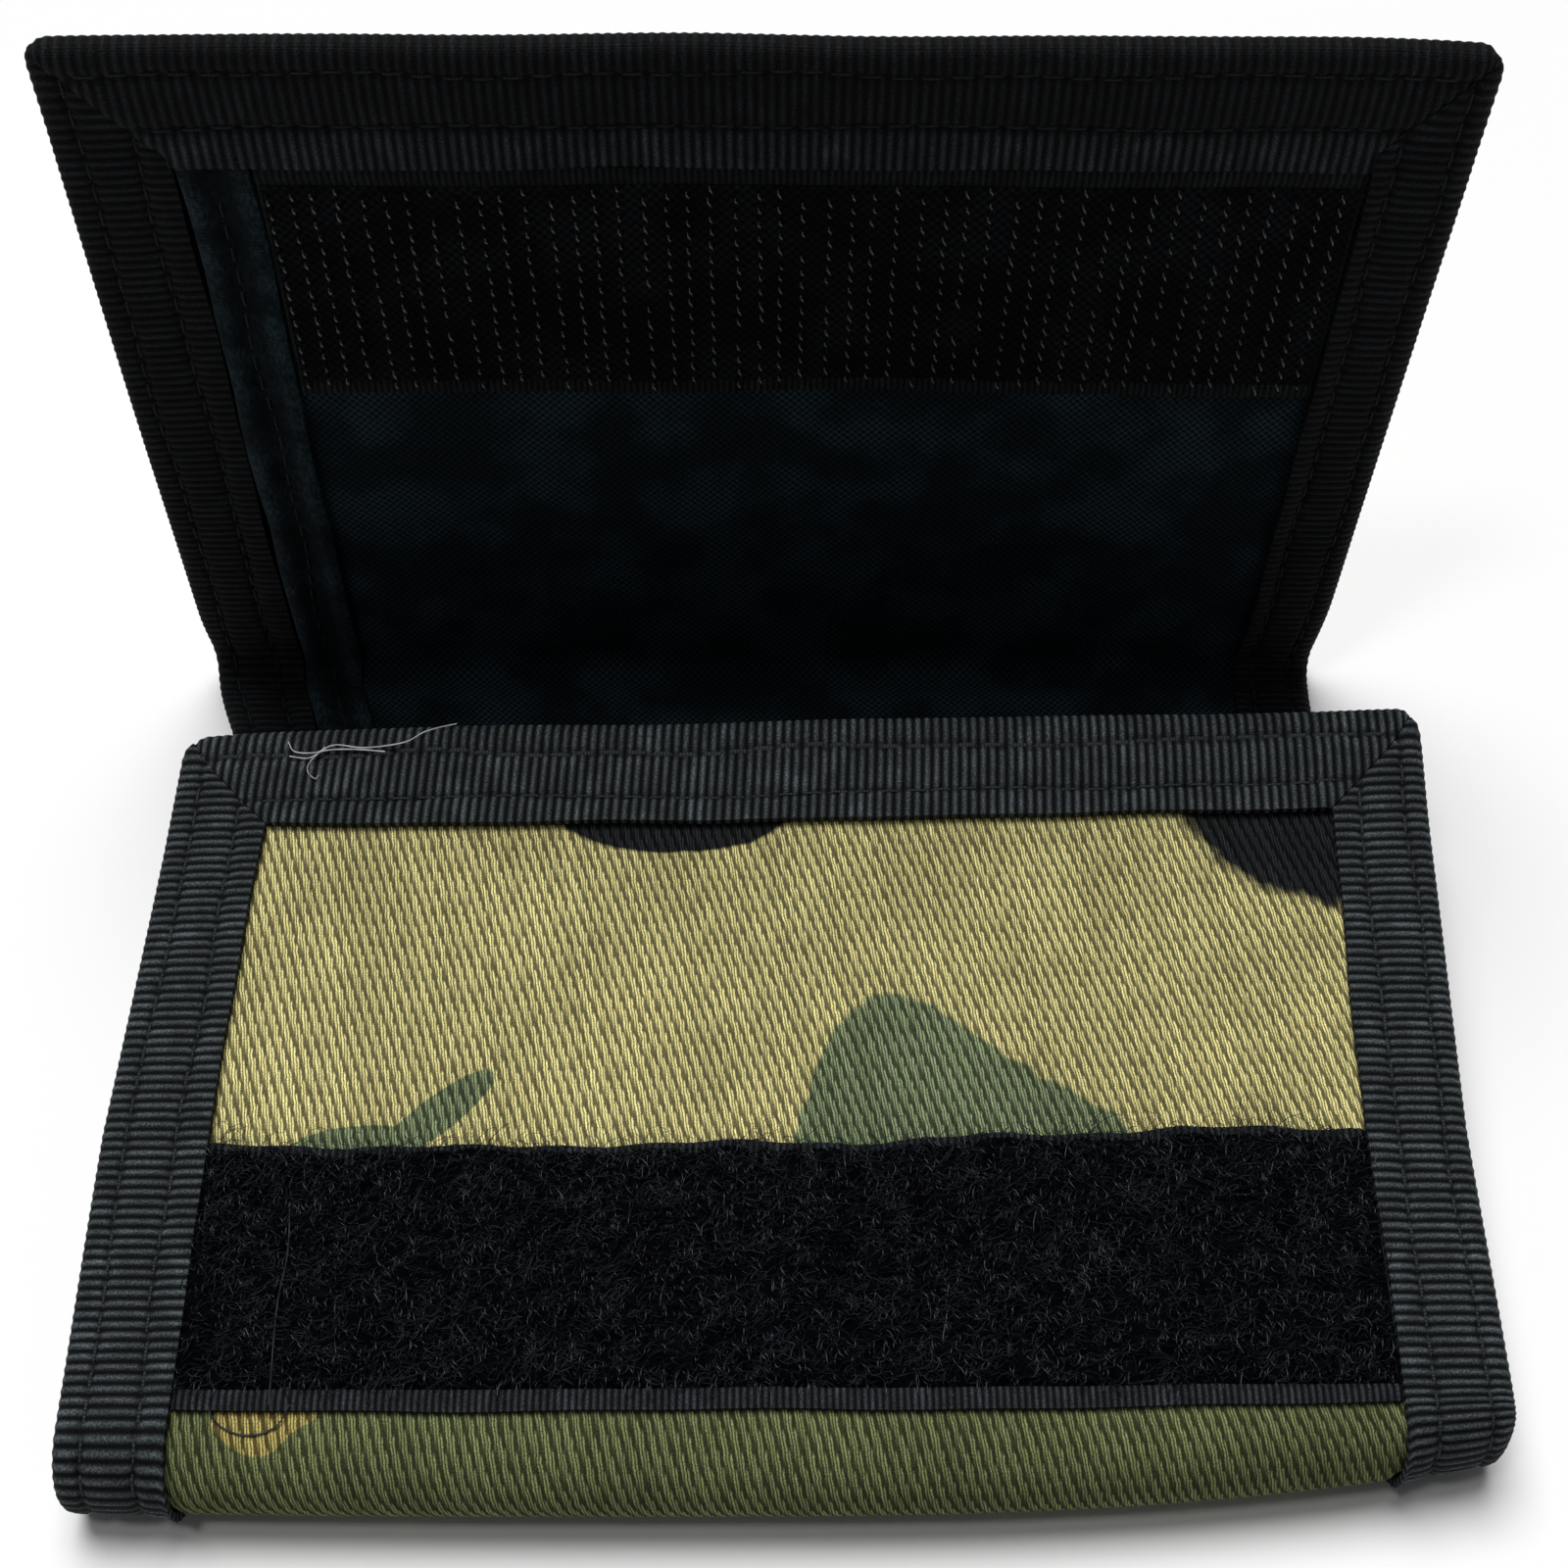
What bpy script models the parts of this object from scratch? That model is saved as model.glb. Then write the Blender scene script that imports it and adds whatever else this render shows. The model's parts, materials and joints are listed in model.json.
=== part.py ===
"""Trifold wallet sewn from twill, lining cloth and grosgrain tape.

One long strip of cloth is folded in three.  The middle panel lies flat, the front panel is folded
over it from the near side, and the flap stands up at the far side.  Each fold is a narrow spine
strip between two creases, so every panel and every spine is a stack of thin sewn layers.

The lengths below are millimetres.  World axes: +X across the wallet, +Y from the near fold to the
flap, +Z up, with the origin under the middle of the wallet, on the surface it lies on.
"""

import math

import bmesh
import bpy
from mathutils import Matrix, Vector

MM = 0.001

# Driving dimensions
WIDTH = 127.0  # edge to edge, along X
STACK_HEIGHT = 10.7  # folded front panel and middle panel together, at the near fold
FRONT_LENGTH = 74.9  # near fold to the front panel's free edge, when closed
FAR_CREASE = 78.2  # near fold to the crease between middle panel and far spine
FLAP_PLANE = 100.2  # near fold to the outer face of the standing flap
FLAP_HEIGHT = 83.0  # surface to the flap's free edge
FRONT_TILT = math.radians(6.8)  # how far the front panel springs open at rest

# Layers, counted inwards from the outer face of the binding tape
GAP = 0.3  # clearance between touching layers
TAPE = 0.4  # grosgrain binding tape
SHELL = (0.7, 1.2)  # printed twill
LINING = (2.1, 2.5)  # inner wall of the note compartment
SHELL_EDGE = 1.9  # thickness of a binding round the shell alone
FULL_EDGE = 3.2  # thickness of a binding round shell and lining
SHEET = 0.35  # card pocket cloth
HEM = 0.3  # extra thickness of a pocket's folded hem
VINYL = 0.25  # clear window

# Tapes and strips
BINDING = 10.0  # visible width of the binding on each face
FLAP_RIGHT_BINDING = 9.0  # the flap's right binding takes in more layers and shows less
INNER_TAPE = 0.3
INNER_BINDING_X = 10.4  # free edge of the lining, where the note compartment opens
INNER_BINDING = 6.4  # visible width of the narrow binding along it
INNER_BINDING_W = (1.5, 3.1)
CLOSURE = 25.4  # width of the hook strip and of the loop strip
SELVAGE = 1.6  # thin woven edge of both strips
LOOP_START = 6.3  # near fold to the loop strip
HOOK_FROM_EDGE = 12.6  # flap's free edge to the hook strip
LOOP_HEIGHT = 2.0
HOOK_HEIGHT = 1.5
SELVAGE_SHARE = 0.6  # a selvage's height over the strip's

# Pockets
POCKET_X = (17.6, 116.4)
POCKET_BOTTOM = 6.0  # near fold to the card pockets' bottom
POCKET_MOUTHS = {"back": 68.0, "middle": 60.0, "front": 52.0}  # near fold to each mouth
HEM_WIDTH = 5.0
FRONT_POCKET_MOUTH = 9.0  # near fold to the mouth of the pocket inside the front panel
FRONT_POCKET_END = FRONT_LENGTH - BINDING - 2.0
WINDOW_SET_BACK = 3.0  # front pocket's mouth to the window's
TRIM_WIDTH = 6.0

# Creases.  A folded crease turns about an axis set in from both outer faces by FOLD_INSET, which
# keeps the cloth's length through a round fold; the flat crease turns in the plane of the shell.
FOLD_INSET = 1.9
SHELL_MIDDLE = 0.95
FOLD_END = (2.15, 0.4)  # where layers start at a folded crease: distance, and growth with depth
FLAT_END = (0.3, 0.72)  # the same at the flat crease
MITRE_GAP = 0.42

DEPTH = FLAP_PLANE  # the whole wallet along Y
ORIGIN_SHIFT = Vector((-WIDTH / 2, -DEPTH / 2, 0.0))

COLOURS = {
    "camo_twill": ((0.36, 0.31, 0.12), 0.85),
    "grosgrain": ((0.018, 0.020, 0.022), 0.7),
    "inner_tape": ((0.020, 0.030, 0.032), 0.8),
    "lining_cloth": ((0.012, 0.020, 0.024), 0.8),
    "loop_pile": ((0.008, 0.009, 0.010), 0.9),
    "hook_tape": ((0.010, 0.011, 0.012), 0.5),
    "clear_vinyl": ((0.85, 0.87, 0.86), 0.15),
}


def clear_scene():
    for old in list(bpy.data.objects):
        bpy.data.objects.remove(old, do_unlink=True)


def make_materials():
    materials = {}
    for name, (colour, roughness) in COLOURS.items():
        material = bpy.data.materials.new(name)
        material.use_nodes = True
        shader = material.node_tree.nodes["Principled BSDF"]
        shader.inputs["Base Color"].default_value = (*colour, 1.0)
        shader.inputs["Roughness"].default_value = roughness
        shader.inputs["Metallic"].default_value = 0.0
        if name == "clear_vinyl":
            shader.inputs["Alpha"].default_value = 0.35
        materials[name] = material
    return materials


class Body:
    """A rigid panel or spine: maps (across, along, inward) to the world, about a joint's axis."""

    def __init__(self, name, start, along, inward, pivot=None, tilt=0.0):
        self.pivot = Vector(pivot) if pivot else Vector((0.0, 0.0, 0.0))
        columns = Matrix((Vector((1.0, 0.0, 0.0)), Vector(along), Vector(inward))).transposed()
        self.turn = columns
        self.start = Vector(start)
        self.empty = bpy.data.objects.new(f"{name}_axis", None)
        self.empty.empty_display_size = 0.01
        self.empty.location = (self.pivot + ORIGIN_SHIFT + Vector((WIDTH / 2, 0, 0))) * MM
        self.empty.rotation_euler.x = tilt
        bpy.context.scene.collection.objects.link(self.empty)

    def point(self, across, along, inward):
        """A layer's point in metres, relative to the body's empty."""
        placed = self.start + self.turn @ Vector((across, along, inward))
        return (placed - self.pivot - Vector((WIDTH / 2, 0, 0))) * MM


def add_solid(name, body, material, first_ring, last_ring):
    """A closed solid between two rings of matching (across, along, inward) points."""
    mesh = bpy.data.meshes.new(name)
    bm = bmesh.new()
    rings = [[bm.verts.new(body.point(*p)) for p in ring] for ring in (first_ring, last_ring)]
    count = len(first_ring)
    for i in range(count):
        j = (i + 1) % count
        bm.faces.new((rings[0][i], rings[0][j], rings[1][j], rings[1][i]))
    bm.faces.new(rings[0])
    bm.faces.new(rings[1])
    bmesh.ops.recalc_face_normals(bm, faces=bm.faces)
    bm.to_mesh(mesh)
    bm.free()
    mesh.materials.append(material)
    piece = bpy.data.objects.new(name, mesh)
    piece.parent = body.empty
    bpy.context.scene.collection.objects.link(piece)
    return piece


def add_sheet(name, body, material, across, along, inward):
    """A flat layer of cloth: three (low, high) pairs."""
    rings = []
    for x in across:
        rings.append([(x, along[i], inward[j]) for i, j in ((0, 0), (1, 0), (1, 1), (0, 1))])
    return add_solid(name, body, material, *rings)


def add_extrusion(name, body, material, across, profile):
    """A profile of (along, inward) points extruded across the wallet."""
    rings = [[(x, along, inward) for along, inward in profile] for x in across]
    return add_solid(name, body, material, *rings)


def channel(reach, inward, tape, far_reach=None):
    """U profile of a folded tape: (distance in from the edge, inward) points."""
    low, high = inward
    far_reach = far_reach or reach
    return [
        (0.0, low),
        (reach, low),
        (reach, low + tape),
        (tape, low + tape),
        (tape, high - tape),
        (far_reach, high - tape),
        (far_reach, high),
        (0.0, high),
    ]


class Span:
    """The stretch of strip that a body holds, with ends that depend on depth and on mitres."""

    def __init__(self, low, low_growth, high, high_growth, mitred=False):
        self.low = (low, low_growth)
        self.high = (high, -high_growth)
        self.mitred = mitred

    def start(self, inward):
        return self.low[0] + self.low[1] * inward

    def end(self, inward, distance=0.0):
        mitre = distance + MITRE_GAP if self.mitred else 0.0
        return self.high[0] + self.high[1] * inward - mitre

    def layer(self, inward, hold_back=0.0):
        """Start and end of a flat layer, kept clear of both creases all through its depth."""
        end = self.high[0] - hold_back if self.mitred else self.end(max(inward))
        return (self.start(max(inward)), end)


def add_side_binding(name, body, material, span, profile, edge_x, inwards):
    """A folded tape along a side edge; inwards is +1 from the left edge and -1 from the right."""
    first = [(edge_x + inwards * d, span.start(w), w) for d, w in profile]
    last = [(edge_x + inwards * d, span.end(w, d), w) for d, w in profile]
    return add_solid(name, body, material, first, last)


def add_end_binding(name, body, material, length, profile):
    """A folded tape across a panel's free end, mitred into the two side bindings."""
    first = [(d, length - d, w) for d, w in profile]
    last = [(WIDTH - d, length - d, w) for d, w in profile]
    return add_solid(name, body, material, first, last)


def add_strip_layers(part, body, span, materials, right_reach=BINDING):
    """The layers that run the whole length of the wallet: shell, lining and their bindings."""
    add_sheet(
        f"{part}_shell",
        body,
        materials["camo_twill"],
        (TAPE + GAP, WIDTH - TAPE - GAP),
        span.layer(SHELL, TAPE + GAP),
        SHELL,
    )
    add_sheet(
        f"{part}_lining",
        body,
        materials["lining_cloth"],
        (INNER_BINDING_X + INNER_TAPE + GAP, WIDTH - TAPE - GAP),
        span.layer(LINING, TAPE + GAP),
        LINING,
    )
    left = channel(BINDING, (0.0, SHELL_EDGE), TAPE)
    right = channel(BINDING, (0.0, FULL_EDGE), TAPE, right_reach)
    grosgrain = materials["grosgrain"]
    add_side_binding(f"{part}_binding_left", body, grosgrain, span, left, 0.0, 1)
    add_side_binding(f"{part}_binding_right", body, grosgrain, span, right, WIDTH, -1)
    inner_span = span
    if span.mitred:
        inner_span = Span(*span.low, span.high[0] - BINDING - GAP, 0.0)
    inner = channel(INNER_BINDING, INNER_BINDING_W, INNER_TAPE)
    tape = materials["inner_tape"]
    add_side_binding(f"{part}_inner_binding", body, tape, inner_span, inner, INNER_BINDING_X, 1)


def add_closure_strip(name, body, material, across, start, base, height, outwards):
    """A hook or loop strip: a thin woven selvage along both edges and a thicker middle."""
    selvage_height = SELVAGE_SHARE * height
    low = base - outwards * height
    selvage = base - outwards * selvage_height
    end = start + CLOSURE
    profile = [
        (start, base),
        (end, base),
        (end, selvage),
        (end - SELVAGE, selvage),
        (end - SELVAGE, low),
        (start + SELVAGE, low),
        (start + SELVAGE, selvage),
        (start, selvage),
    ]
    return add_extrusion(name, body, material, across, profile)


def add_card_pocket(name, body, material, bottom, mouth, inward):
    """A pocket sheet with a folded hem at its mouth."""
    hem_start = mouth - math.copysign(HEM_WIDTH, mouth - bottom)
    top = inward + SHEET
    profile = [
        (bottom, inward),
        (mouth, inward),
        (mouth, top + HEM),
        (hem_start, top + HEM),
        (hem_start, top),
        (bottom, top),
    ]
    return add_extrusion(name, body, material, POCKET_X, profile)


def build_middle(materials):
    body = Body("middle", (0, 0, 0), (0, 1, 0), (0, 0, 1))
    span = Span(*FOLD_END, FAR_CREASE - FLAT_END[0], FLAT_END[1])
    add_strip_layers("middle", body, span, materials)
    first_layer = LINING[1] + GAP
    cloth = materials["lining_cloth"]
    for i, (label, mouth) in enumerate(POCKET_MOUTHS.items()):
        inward = first_layer + i * (SHEET + GAP)
        add_card_pocket(f"card_pocket_{label}", body, cloth, POCKET_BOTTOM, mouth, inward)
    return body


def build_far_spine(materials):
    pivot = (0, FAR_CREASE, SHELL_MIDDLE)
    body = Body("far_spine", (0, 0, 0), (0, 1, 0), (0, 0, 1), pivot)
    start = FAR_CREASE + FLAT_END[0]
    span = Span(start, FLAT_END[1], FLAP_PLANE - FOLD_END[0], FOLD_END[1])
    add_strip_layers("far_spine", body, span, materials)
    return body


def build_flap(materials):
    pivot = (0, FLAP_PLANE - FOLD_INSET, FOLD_INSET)
    body = Body("flap", (0, FLAP_PLANE, 0), (0, 0, 1), (0, -1, 0), pivot)
    span = Span(*FOLD_END, FLAP_HEIGHT, 0.0, mitred=True)
    add_strip_layers("flap", body, span, materials, FLAP_RIGHT_BINDING)
    end_profile = channel(BINDING, (0.0, FULL_EDGE), TAPE)
    add_end_binding("flap_end_binding", body, materials["grosgrain"], FLAP_HEIGHT, end_profile)
    add_closure_strip(
        "hook_strip",
        body,
        materials["hook_tape"],
        (INNER_BINDING_X + INNER_BINDING + GAP, WIDTH - FLAP_RIGHT_BINDING - GAP),
        FLAP_HEIGHT - HOOK_FROM_EDGE - CLOSURE,
        LINING[1] + GAP,
        HOOK_HEIGHT,
        -1,
    )
    return body


def build_near_spine(materials):
    pivot = (0, FOLD_INSET, FOLD_INSET)
    body = Body("near_spine", (0, 0, 0), (0, 0, 1), (0, 1, 0), pivot)
    span = Span(*FOLD_END, STACK_HEIGHT - FOLD_END[0], FOLD_END[1])
    add_strip_layers("near_spine", body, span, materials)
    return body


def build_front(materials):
    pivot = (0, FOLD_INSET, STACK_HEIGHT - FOLD_INSET)
    body = Body("front", (0, 0, STACK_HEIGHT), (0, 1, 0), (0, 0, -1), pivot, FRONT_TILT)
    span = Span(*FOLD_END, FRONT_LENGTH, 0.0, mitred=True)
    add_strip_layers("front", body, span, materials)
    end_profile = channel(BINDING, (0.0, FULL_EDGE), TAPE)
    add_end_binding("front_end_binding", body, materials["grosgrain"], FRONT_LENGTH, end_profile)
    loop_x = (BINDING + GAP, WIDTH - BINDING - GAP)
    base = SHELL[0] - GAP
    loop = materials["loop_pile"]
    add_closure_strip("loop_strip", body, loop, loop_x, LOOP_START, base, LOOP_HEIGHT, 1)
    add_front_pockets(body, materials)
    return body


def add_front_pockets(body, materials):
    """Inside the front panel: a card pocket with a clear window pocket over it."""
    mouth, bottom = FRONT_POCKET_MOUTH, FRONT_POCKET_END
    inward = LINING[1] + GAP
    add_card_pocket("front_card_pocket", body, materials["lining_cloth"], bottom, mouth, inward)
    window = inward + SHEET + HEM + GAP
    window_mouth = mouth + WINDOW_SET_BACK
    window_y = (window_mouth, bottom)
    vinyl = materials["clear_vinyl"]
    add_sheet("id_window", body, vinyl, POCKET_X, window_y, (window, window + VINYL))
    trim = window + VINYL + GAP
    trim_y = (window_mouth, window_mouth + TRIM_WIDTH)
    tape = materials["inner_tape"]
    add_sheet("id_window_trim", body, tape, POCKET_X, trim_y, (trim, trim + INNER_TAPE))


def hang(child, parent):
    """Parent one body's empty to another's and keep it where it is."""
    child.empty.parent = parent.empty
    child.empty.location = (child.pivot - parent.pivot) * MM


def main():
    clear_scene()
    materials = make_materials()
    middle = build_middle(materials)
    far_spine = build_far_spine(materials)
    flap = build_flap(materials)
    near_spine = build_near_spine(materials)
    front = build_front(materials)
    hang(far_spine, middle)
    hang(flap, far_spine)
    hang(near_spine, middle)
    hang(front, near_spine)
    bpy.context.view_layer.update()


main()
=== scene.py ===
"""Looks of the trifold wallet: printed twill, sewn grosgrain tapes, lining, and hook and loop strips.

Every layer of cloth is described by three lengths in millimetres: x across the wallet from its
middle, s along the strip from the front panel's free edge to the flap's, and w inwards from the
outer face.  place() turns them into points of the frame, in metres.
"""

import json
import math

import bmesh
import bpy
import numpy as np
from mathutils import Matrix, Vector


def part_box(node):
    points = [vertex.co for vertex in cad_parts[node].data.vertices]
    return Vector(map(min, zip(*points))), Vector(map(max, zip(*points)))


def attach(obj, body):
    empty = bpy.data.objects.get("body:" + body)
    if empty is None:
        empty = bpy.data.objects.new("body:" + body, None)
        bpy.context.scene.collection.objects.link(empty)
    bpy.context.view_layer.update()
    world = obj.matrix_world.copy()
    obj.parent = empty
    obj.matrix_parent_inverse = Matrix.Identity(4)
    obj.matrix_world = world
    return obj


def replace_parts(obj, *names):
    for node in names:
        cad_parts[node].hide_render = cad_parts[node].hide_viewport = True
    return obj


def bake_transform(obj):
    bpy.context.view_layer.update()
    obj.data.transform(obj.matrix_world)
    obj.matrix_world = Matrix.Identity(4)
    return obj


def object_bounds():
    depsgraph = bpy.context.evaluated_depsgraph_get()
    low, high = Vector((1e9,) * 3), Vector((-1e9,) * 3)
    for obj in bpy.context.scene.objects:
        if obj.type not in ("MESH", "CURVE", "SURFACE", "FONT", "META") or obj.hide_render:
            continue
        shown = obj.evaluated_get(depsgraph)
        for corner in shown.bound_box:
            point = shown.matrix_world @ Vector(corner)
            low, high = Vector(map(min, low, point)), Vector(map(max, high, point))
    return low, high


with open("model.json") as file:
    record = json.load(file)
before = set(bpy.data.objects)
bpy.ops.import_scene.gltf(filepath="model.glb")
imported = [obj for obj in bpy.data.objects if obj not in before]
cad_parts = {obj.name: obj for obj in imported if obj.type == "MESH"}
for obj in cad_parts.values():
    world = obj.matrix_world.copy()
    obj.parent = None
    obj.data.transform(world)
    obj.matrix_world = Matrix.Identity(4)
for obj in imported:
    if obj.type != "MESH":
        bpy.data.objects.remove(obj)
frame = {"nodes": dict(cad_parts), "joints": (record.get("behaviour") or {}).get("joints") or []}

MM = 0.001
CAD_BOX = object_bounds()
LOW, HIGH = (np.array(corner) / MM for corner in CAD_BOX)
HALF = HIGH[0]  # half the wallet's width

# Layers and edges, as in the CAD
FRONT_TILT = math.radians(6.8)
SHELL = (0.75, 1.2)
LINING = (2.15, 2.45)
TAPE = 0.4
SHELL_EDGE = 1.9
FULL_EDGE = 3.2
BINDING = 9.9
FLAP_RIGHT_BINDING = 9.0
FLAP_END_BINDING = 11.1  # on the inside
INNER_TAPE = 0.35
INNER_EDGE = 10.4  # wallet's edge to the lining's bound edge
INNER_BINDING = 6.4
INNER_BINDING_W = (1.45, 3.15)
BINDING_DEPTH = 1.4  # where in their depth the bindings and their stitches bend
HIDDEN = 0.8  # layers stop this far short of the edges, inside their bindings

FOLD_RADIUS = 5.35
SHELL_MIDDLE = 0.95
CORNER_RADIUS = 2.4

# The lengths of strip that go with a joint, past the near crease and the far one
NEAR_PART_REACH = 35.0
FAR_PART_REACH = 9.3

RIB_PITCH = 0.95
RIB_STEP = RIB_PITCH / 6
RIB_HEIGHT = 0.18
STITCH_PITCH = 2.6
STITCH_ROWS = (2.5, 7.0)  # from the bound edge
THREAD_RADIUS = 0.15


# Where the cloth lies

TINY = 1e-9


def joint_at(name):
    """A joint's (y, z) in millimetres."""
    joint = next(j for j in frame["joints"] if j["name"] == name)
    return np.array(joint["pos_m"][1:]) / MM


def smooth(value):
    t = np.clip(value, 0.0, 1.0)
    return t * t * (3.0 - 2.0 * t)


def unit(vectors):
    return vectors / np.maximum(np.linalg.norm(vectors, axis=-1, keepdims=True), TINY)


class Strip:
    """Side view of the folded cloth: the corners of its outer face, each rounded by an arc."""

    def __init__(self, corners, radius):
        corners = np.array(corners, float)
        headings = [unit(b - a) for a, b in zip(corners, corners[1:])]
        turns = [math.acos(np.clip(a @ b, -1, 1)) for a, b in zip(headings, headings[1:])]
        legs = []  # start, heading, length and turn of each straight run and each arc
        taken = 0.0  # by the arc before, from the straight run
        for corner, following, heading, turn in zip(corners, corners[1:], headings, turns + [0.0]):
            start = corner + heading * taken
            taken = radius * math.tan(turn / 2)
            stop = following - heading * taken
            legs.append((start, heading, np.linalg.norm(stop - start), 0.0))
            legs.append((stop, heading, (radius - SHELL_MIDDLE) * turn, turn))
        self.start, self.heading, lengths, self.turn = (np.array(v) for v in zip(*legs[:-1]))
        self.radius = radius
        self.bend = self.turn / lengths
        self.starts = np.concatenate([[0.0], np.cumsum(lengths)])
        self.length = self.starts[-1]

    def at(self, s):
        """Outer points and inward normals, as (y, z), at distances s along the strip."""
        leg = np.clip(np.searchsorted(self.starts, s, side="right") - 1, 0, len(self.turn) - 1)
        along = (s - self.starts[leg])[..., None]
        heading = self.heading[leg]
        normal = np.stack([-heading[..., 1], heading[..., 0]], -1)
        angle = along * self.bend[leg][..., None]
        inward = normal * np.cos(angle) - heading * np.sin(angle)
        ahead = heading * along * (self.turn[leg] == 0)[..., None]
        return self.start[leg] + (normal - inward) * self.radius + ahead, inward


def front_edge():
    """The outer far corner of the front panel, seen from the side."""
    vertices = frame["nodes"]["front_end_binding"].data.vertices
    top = max(vertices, key=lambda v: v.co.z).co
    return np.array((top.y, top.z)) / MM


def make_strip():
    edge = front_edge()
    drop = (edge[0] - LOW[1]) * math.tan(FRONT_TILT)
    corners = [
        edge,
        (LOW[1], edge[1] - drop),
        (LOW[1], LOW[2]),
        (HIGH[1], LOW[2]),
        (HIGH[1], HIGH[2]),
    ]
    return Strip(corners, FOLD_RADIUS)


STRIP = make_strip()
LENGTH = STRIP.length
FRONT_END, SPINE_START, SPINE_END, MIDDLE_START, FLAT_END, FLAP_START = STRIP.starts[1:7]
NEAR_SPLIT = (SPINE_START + SPINE_END) / 2
MIDDLE_SPLIT = MIDDLE_START + NEAR_PART_REACH
FAR_CREASE = MIDDLE_START + joint_at("far_spine_fold")[0] - (LOW[1] + FOLD_RADIUS)
FAR_SPLIT = FAR_CREASE + FAR_PART_REACH

PARTS = {
    "front": (0.0, NEAR_SPLIT),
    "near": (NEAR_SPLIT, MIDDLE_SPLIT),
    "far": (MIDDLE_SPLIT, FAR_SPLIT),
    "flap": (FAR_SPLIT, LENGTH),
}
STANDS_FOR = {
    "front": ("front",),
    "near": ("near_spine", "middle"),
    "far": ("far_spine",),
    "flap": ("flap",),
}


def rounded(x, s):
    """Pulls the strip's four corners in to arcs."""
    across = HALF - np.abs(x)
    end = np.minimum(s, LENGTH - s)
    a = np.maximum(CORNER_RADIUS - across, 0.0)
    b = np.maximum(CORNER_RADIUS - end, 0.0)
    share = np.maximum(a, b) / np.maximum(np.hypot(a, b), TINY)
    corner = (a > 0) & (b > 0)
    across = np.where(corner, CORNER_RADIUS - a * share, across)
    end = np.where(corner, CORNER_RADIUS - b * share, end)
    return np.sign(x) * (HALF - across), np.where(s < LENGTH / 2, end, LENGTH - end)


def left_right(x):
    """0 in the middle to 1 at the left edge, and at the right edge."""
    return np.clip(-x / HALF, 0.0, 1.0), np.clip(x / HALF, 0.0, 1.0)


def up_flap(s):
    """0 at the flap's fold to 1 at its free end."""
    return np.clip((s - FLAP_START) / (LENGTH - FLAP_START), 0.0, 1.0)


def lift(x, s):
    """How far soft cloth stands out from the CAD's flat panels: twist, curled edge, cup and ripples."""
    side = x / HALF
    front = np.clip((FRONT_END - s) / FRONT_END, 0.0, 1.0)
    twist = front * (0.5 + 1.3 * side)
    curl = 0.7 * smooth((14.0 - s) / 14.0)
    flap = smooth((s - FLAP_START) / 20.0)
    loose = smooth(front * 3.0) + flap
    ripple = 0.22 * np.sin(x / 8.3 + s / 17.0) + 0.16 * np.sin(x / 4.9 - s / 11.0 + 1.3)
    sag = flap * 0.9 * np.cos(side * math.pi / 2) * np.sin((s - FLAP_START) / 25.0)
    lean = 1.6 * smooth((s - FLAT_END - 0.5) / 5.0) + 0.5 * smooth((s - LENGTH + 14.0) / 14.0)
    cup = -0.9 * up_flap(s) * side**6
    bowed = 0.5 * smooth((s - LENGTH + 52.0) / 40.0) * (1.0 - smooth((s - LENGTH + 11.0) / 11.0))
    return twist + curl + 0.7 * loose * ripple + sag + lean + cup + bowed


def stretch(x, s):
    """Distance along the strip of cloth drawn out at its two bound ends and in over the flap."""
    left, right = left_right(x)
    front_out = (2.3 - 0.5 * left - 0.8 * left**8 - 0.9 * right) * smooth((4.0 - s) / 4.0)
    front_out = front_out + 1.4 * right * smooth((24.0 - s) / 24.0)
    flap_in = 1.25 * smooth((s - FLAP_START - 5.0) / 30.0)
    flap_out = 1.3 * smooth((s - LENGTH + 9.0) / 9.0)
    return s - front_out - flap_in + flap_out


NEAR_BULGE = 2.1


def pull(x, s, y):
    """How far the near fold is drawn in by its bindings, or bulges out between them."""
    ends = np.where(x > 0, 4.6, 0.7) * np.abs(x / HALF) ** 2.4
    step_in = 0.8 * smooth((np.abs(x) - 52.8) / 1.6)
    before = smooth((s - 66.0) / 10.0)
    after = 1.0 - smooth((y - LOW[1] - FOLD_RADIUS) / 24.0)
    return (ends + step_in - NEAR_BULGE) * np.where(s < NEAR_SPLIT, before, after)


# Sideways shift of the cloth at distances along the strip
SLIDES_AT = (0.0, 10.0, 43.0, 70.0, MIDDLE_START, FLAP_START)
SLIDES = (2.3, 1.8, 0.5, 0.7, 0.7, -1.3)


def slide(x, s):
    """How far cloth has slid sideways: panels askew, the far fold drawn in, the flap spread wide."""
    left, right = left_right(x)
    on_flap = smooth((s - FLAT_END) / 12.0)
    left_waist = left * (1.0 - smooth(np.abs(s - FLAT_END + 10.0) / 14.0))
    right_waist = right * (1.0 - smooth(np.abs(s - FLAT_END + 3.0) / 18.0))
    askew = np.interp(s, SLIDES_AT, SLIDES)
    spread = up_flap(s) * (1.3 * right - 0.4 * left)
    return askew + 3.6 * left_waist - 1.3 * right_waist + spread - on_flap * left**4


def place(x, s, w):
    """Points of the frame, in metres, for cloth at (x, s, w) in millimetres."""
    x, s, w = np.broadcast_arrays(*(np.asarray(v, float) for v in (x, s, w)))
    x, s = rounded(x, s)
    point, inward = STRIP.at(stretch(x, s))
    yz = point + inward * (w - lift(x, s))[..., None]
    y = yz[..., 0] + pull(x, s, yz[..., 0])
    return np.stack([x + slide(x, s), y, yz[..., 1]], axis=-1) * MM


# Meshes

SHARP = math.radians(65)
MERGED = 1e-7  # metres
ASKEW = unit(np.array((0.31, 0.86, 0.41)))  # a direction that no thread follows


def add_object(name, data):
    obj = bpy.data.objects.new(name, data)
    bpy.context.scene.collection.objects.link(obj)
    return obj


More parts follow.
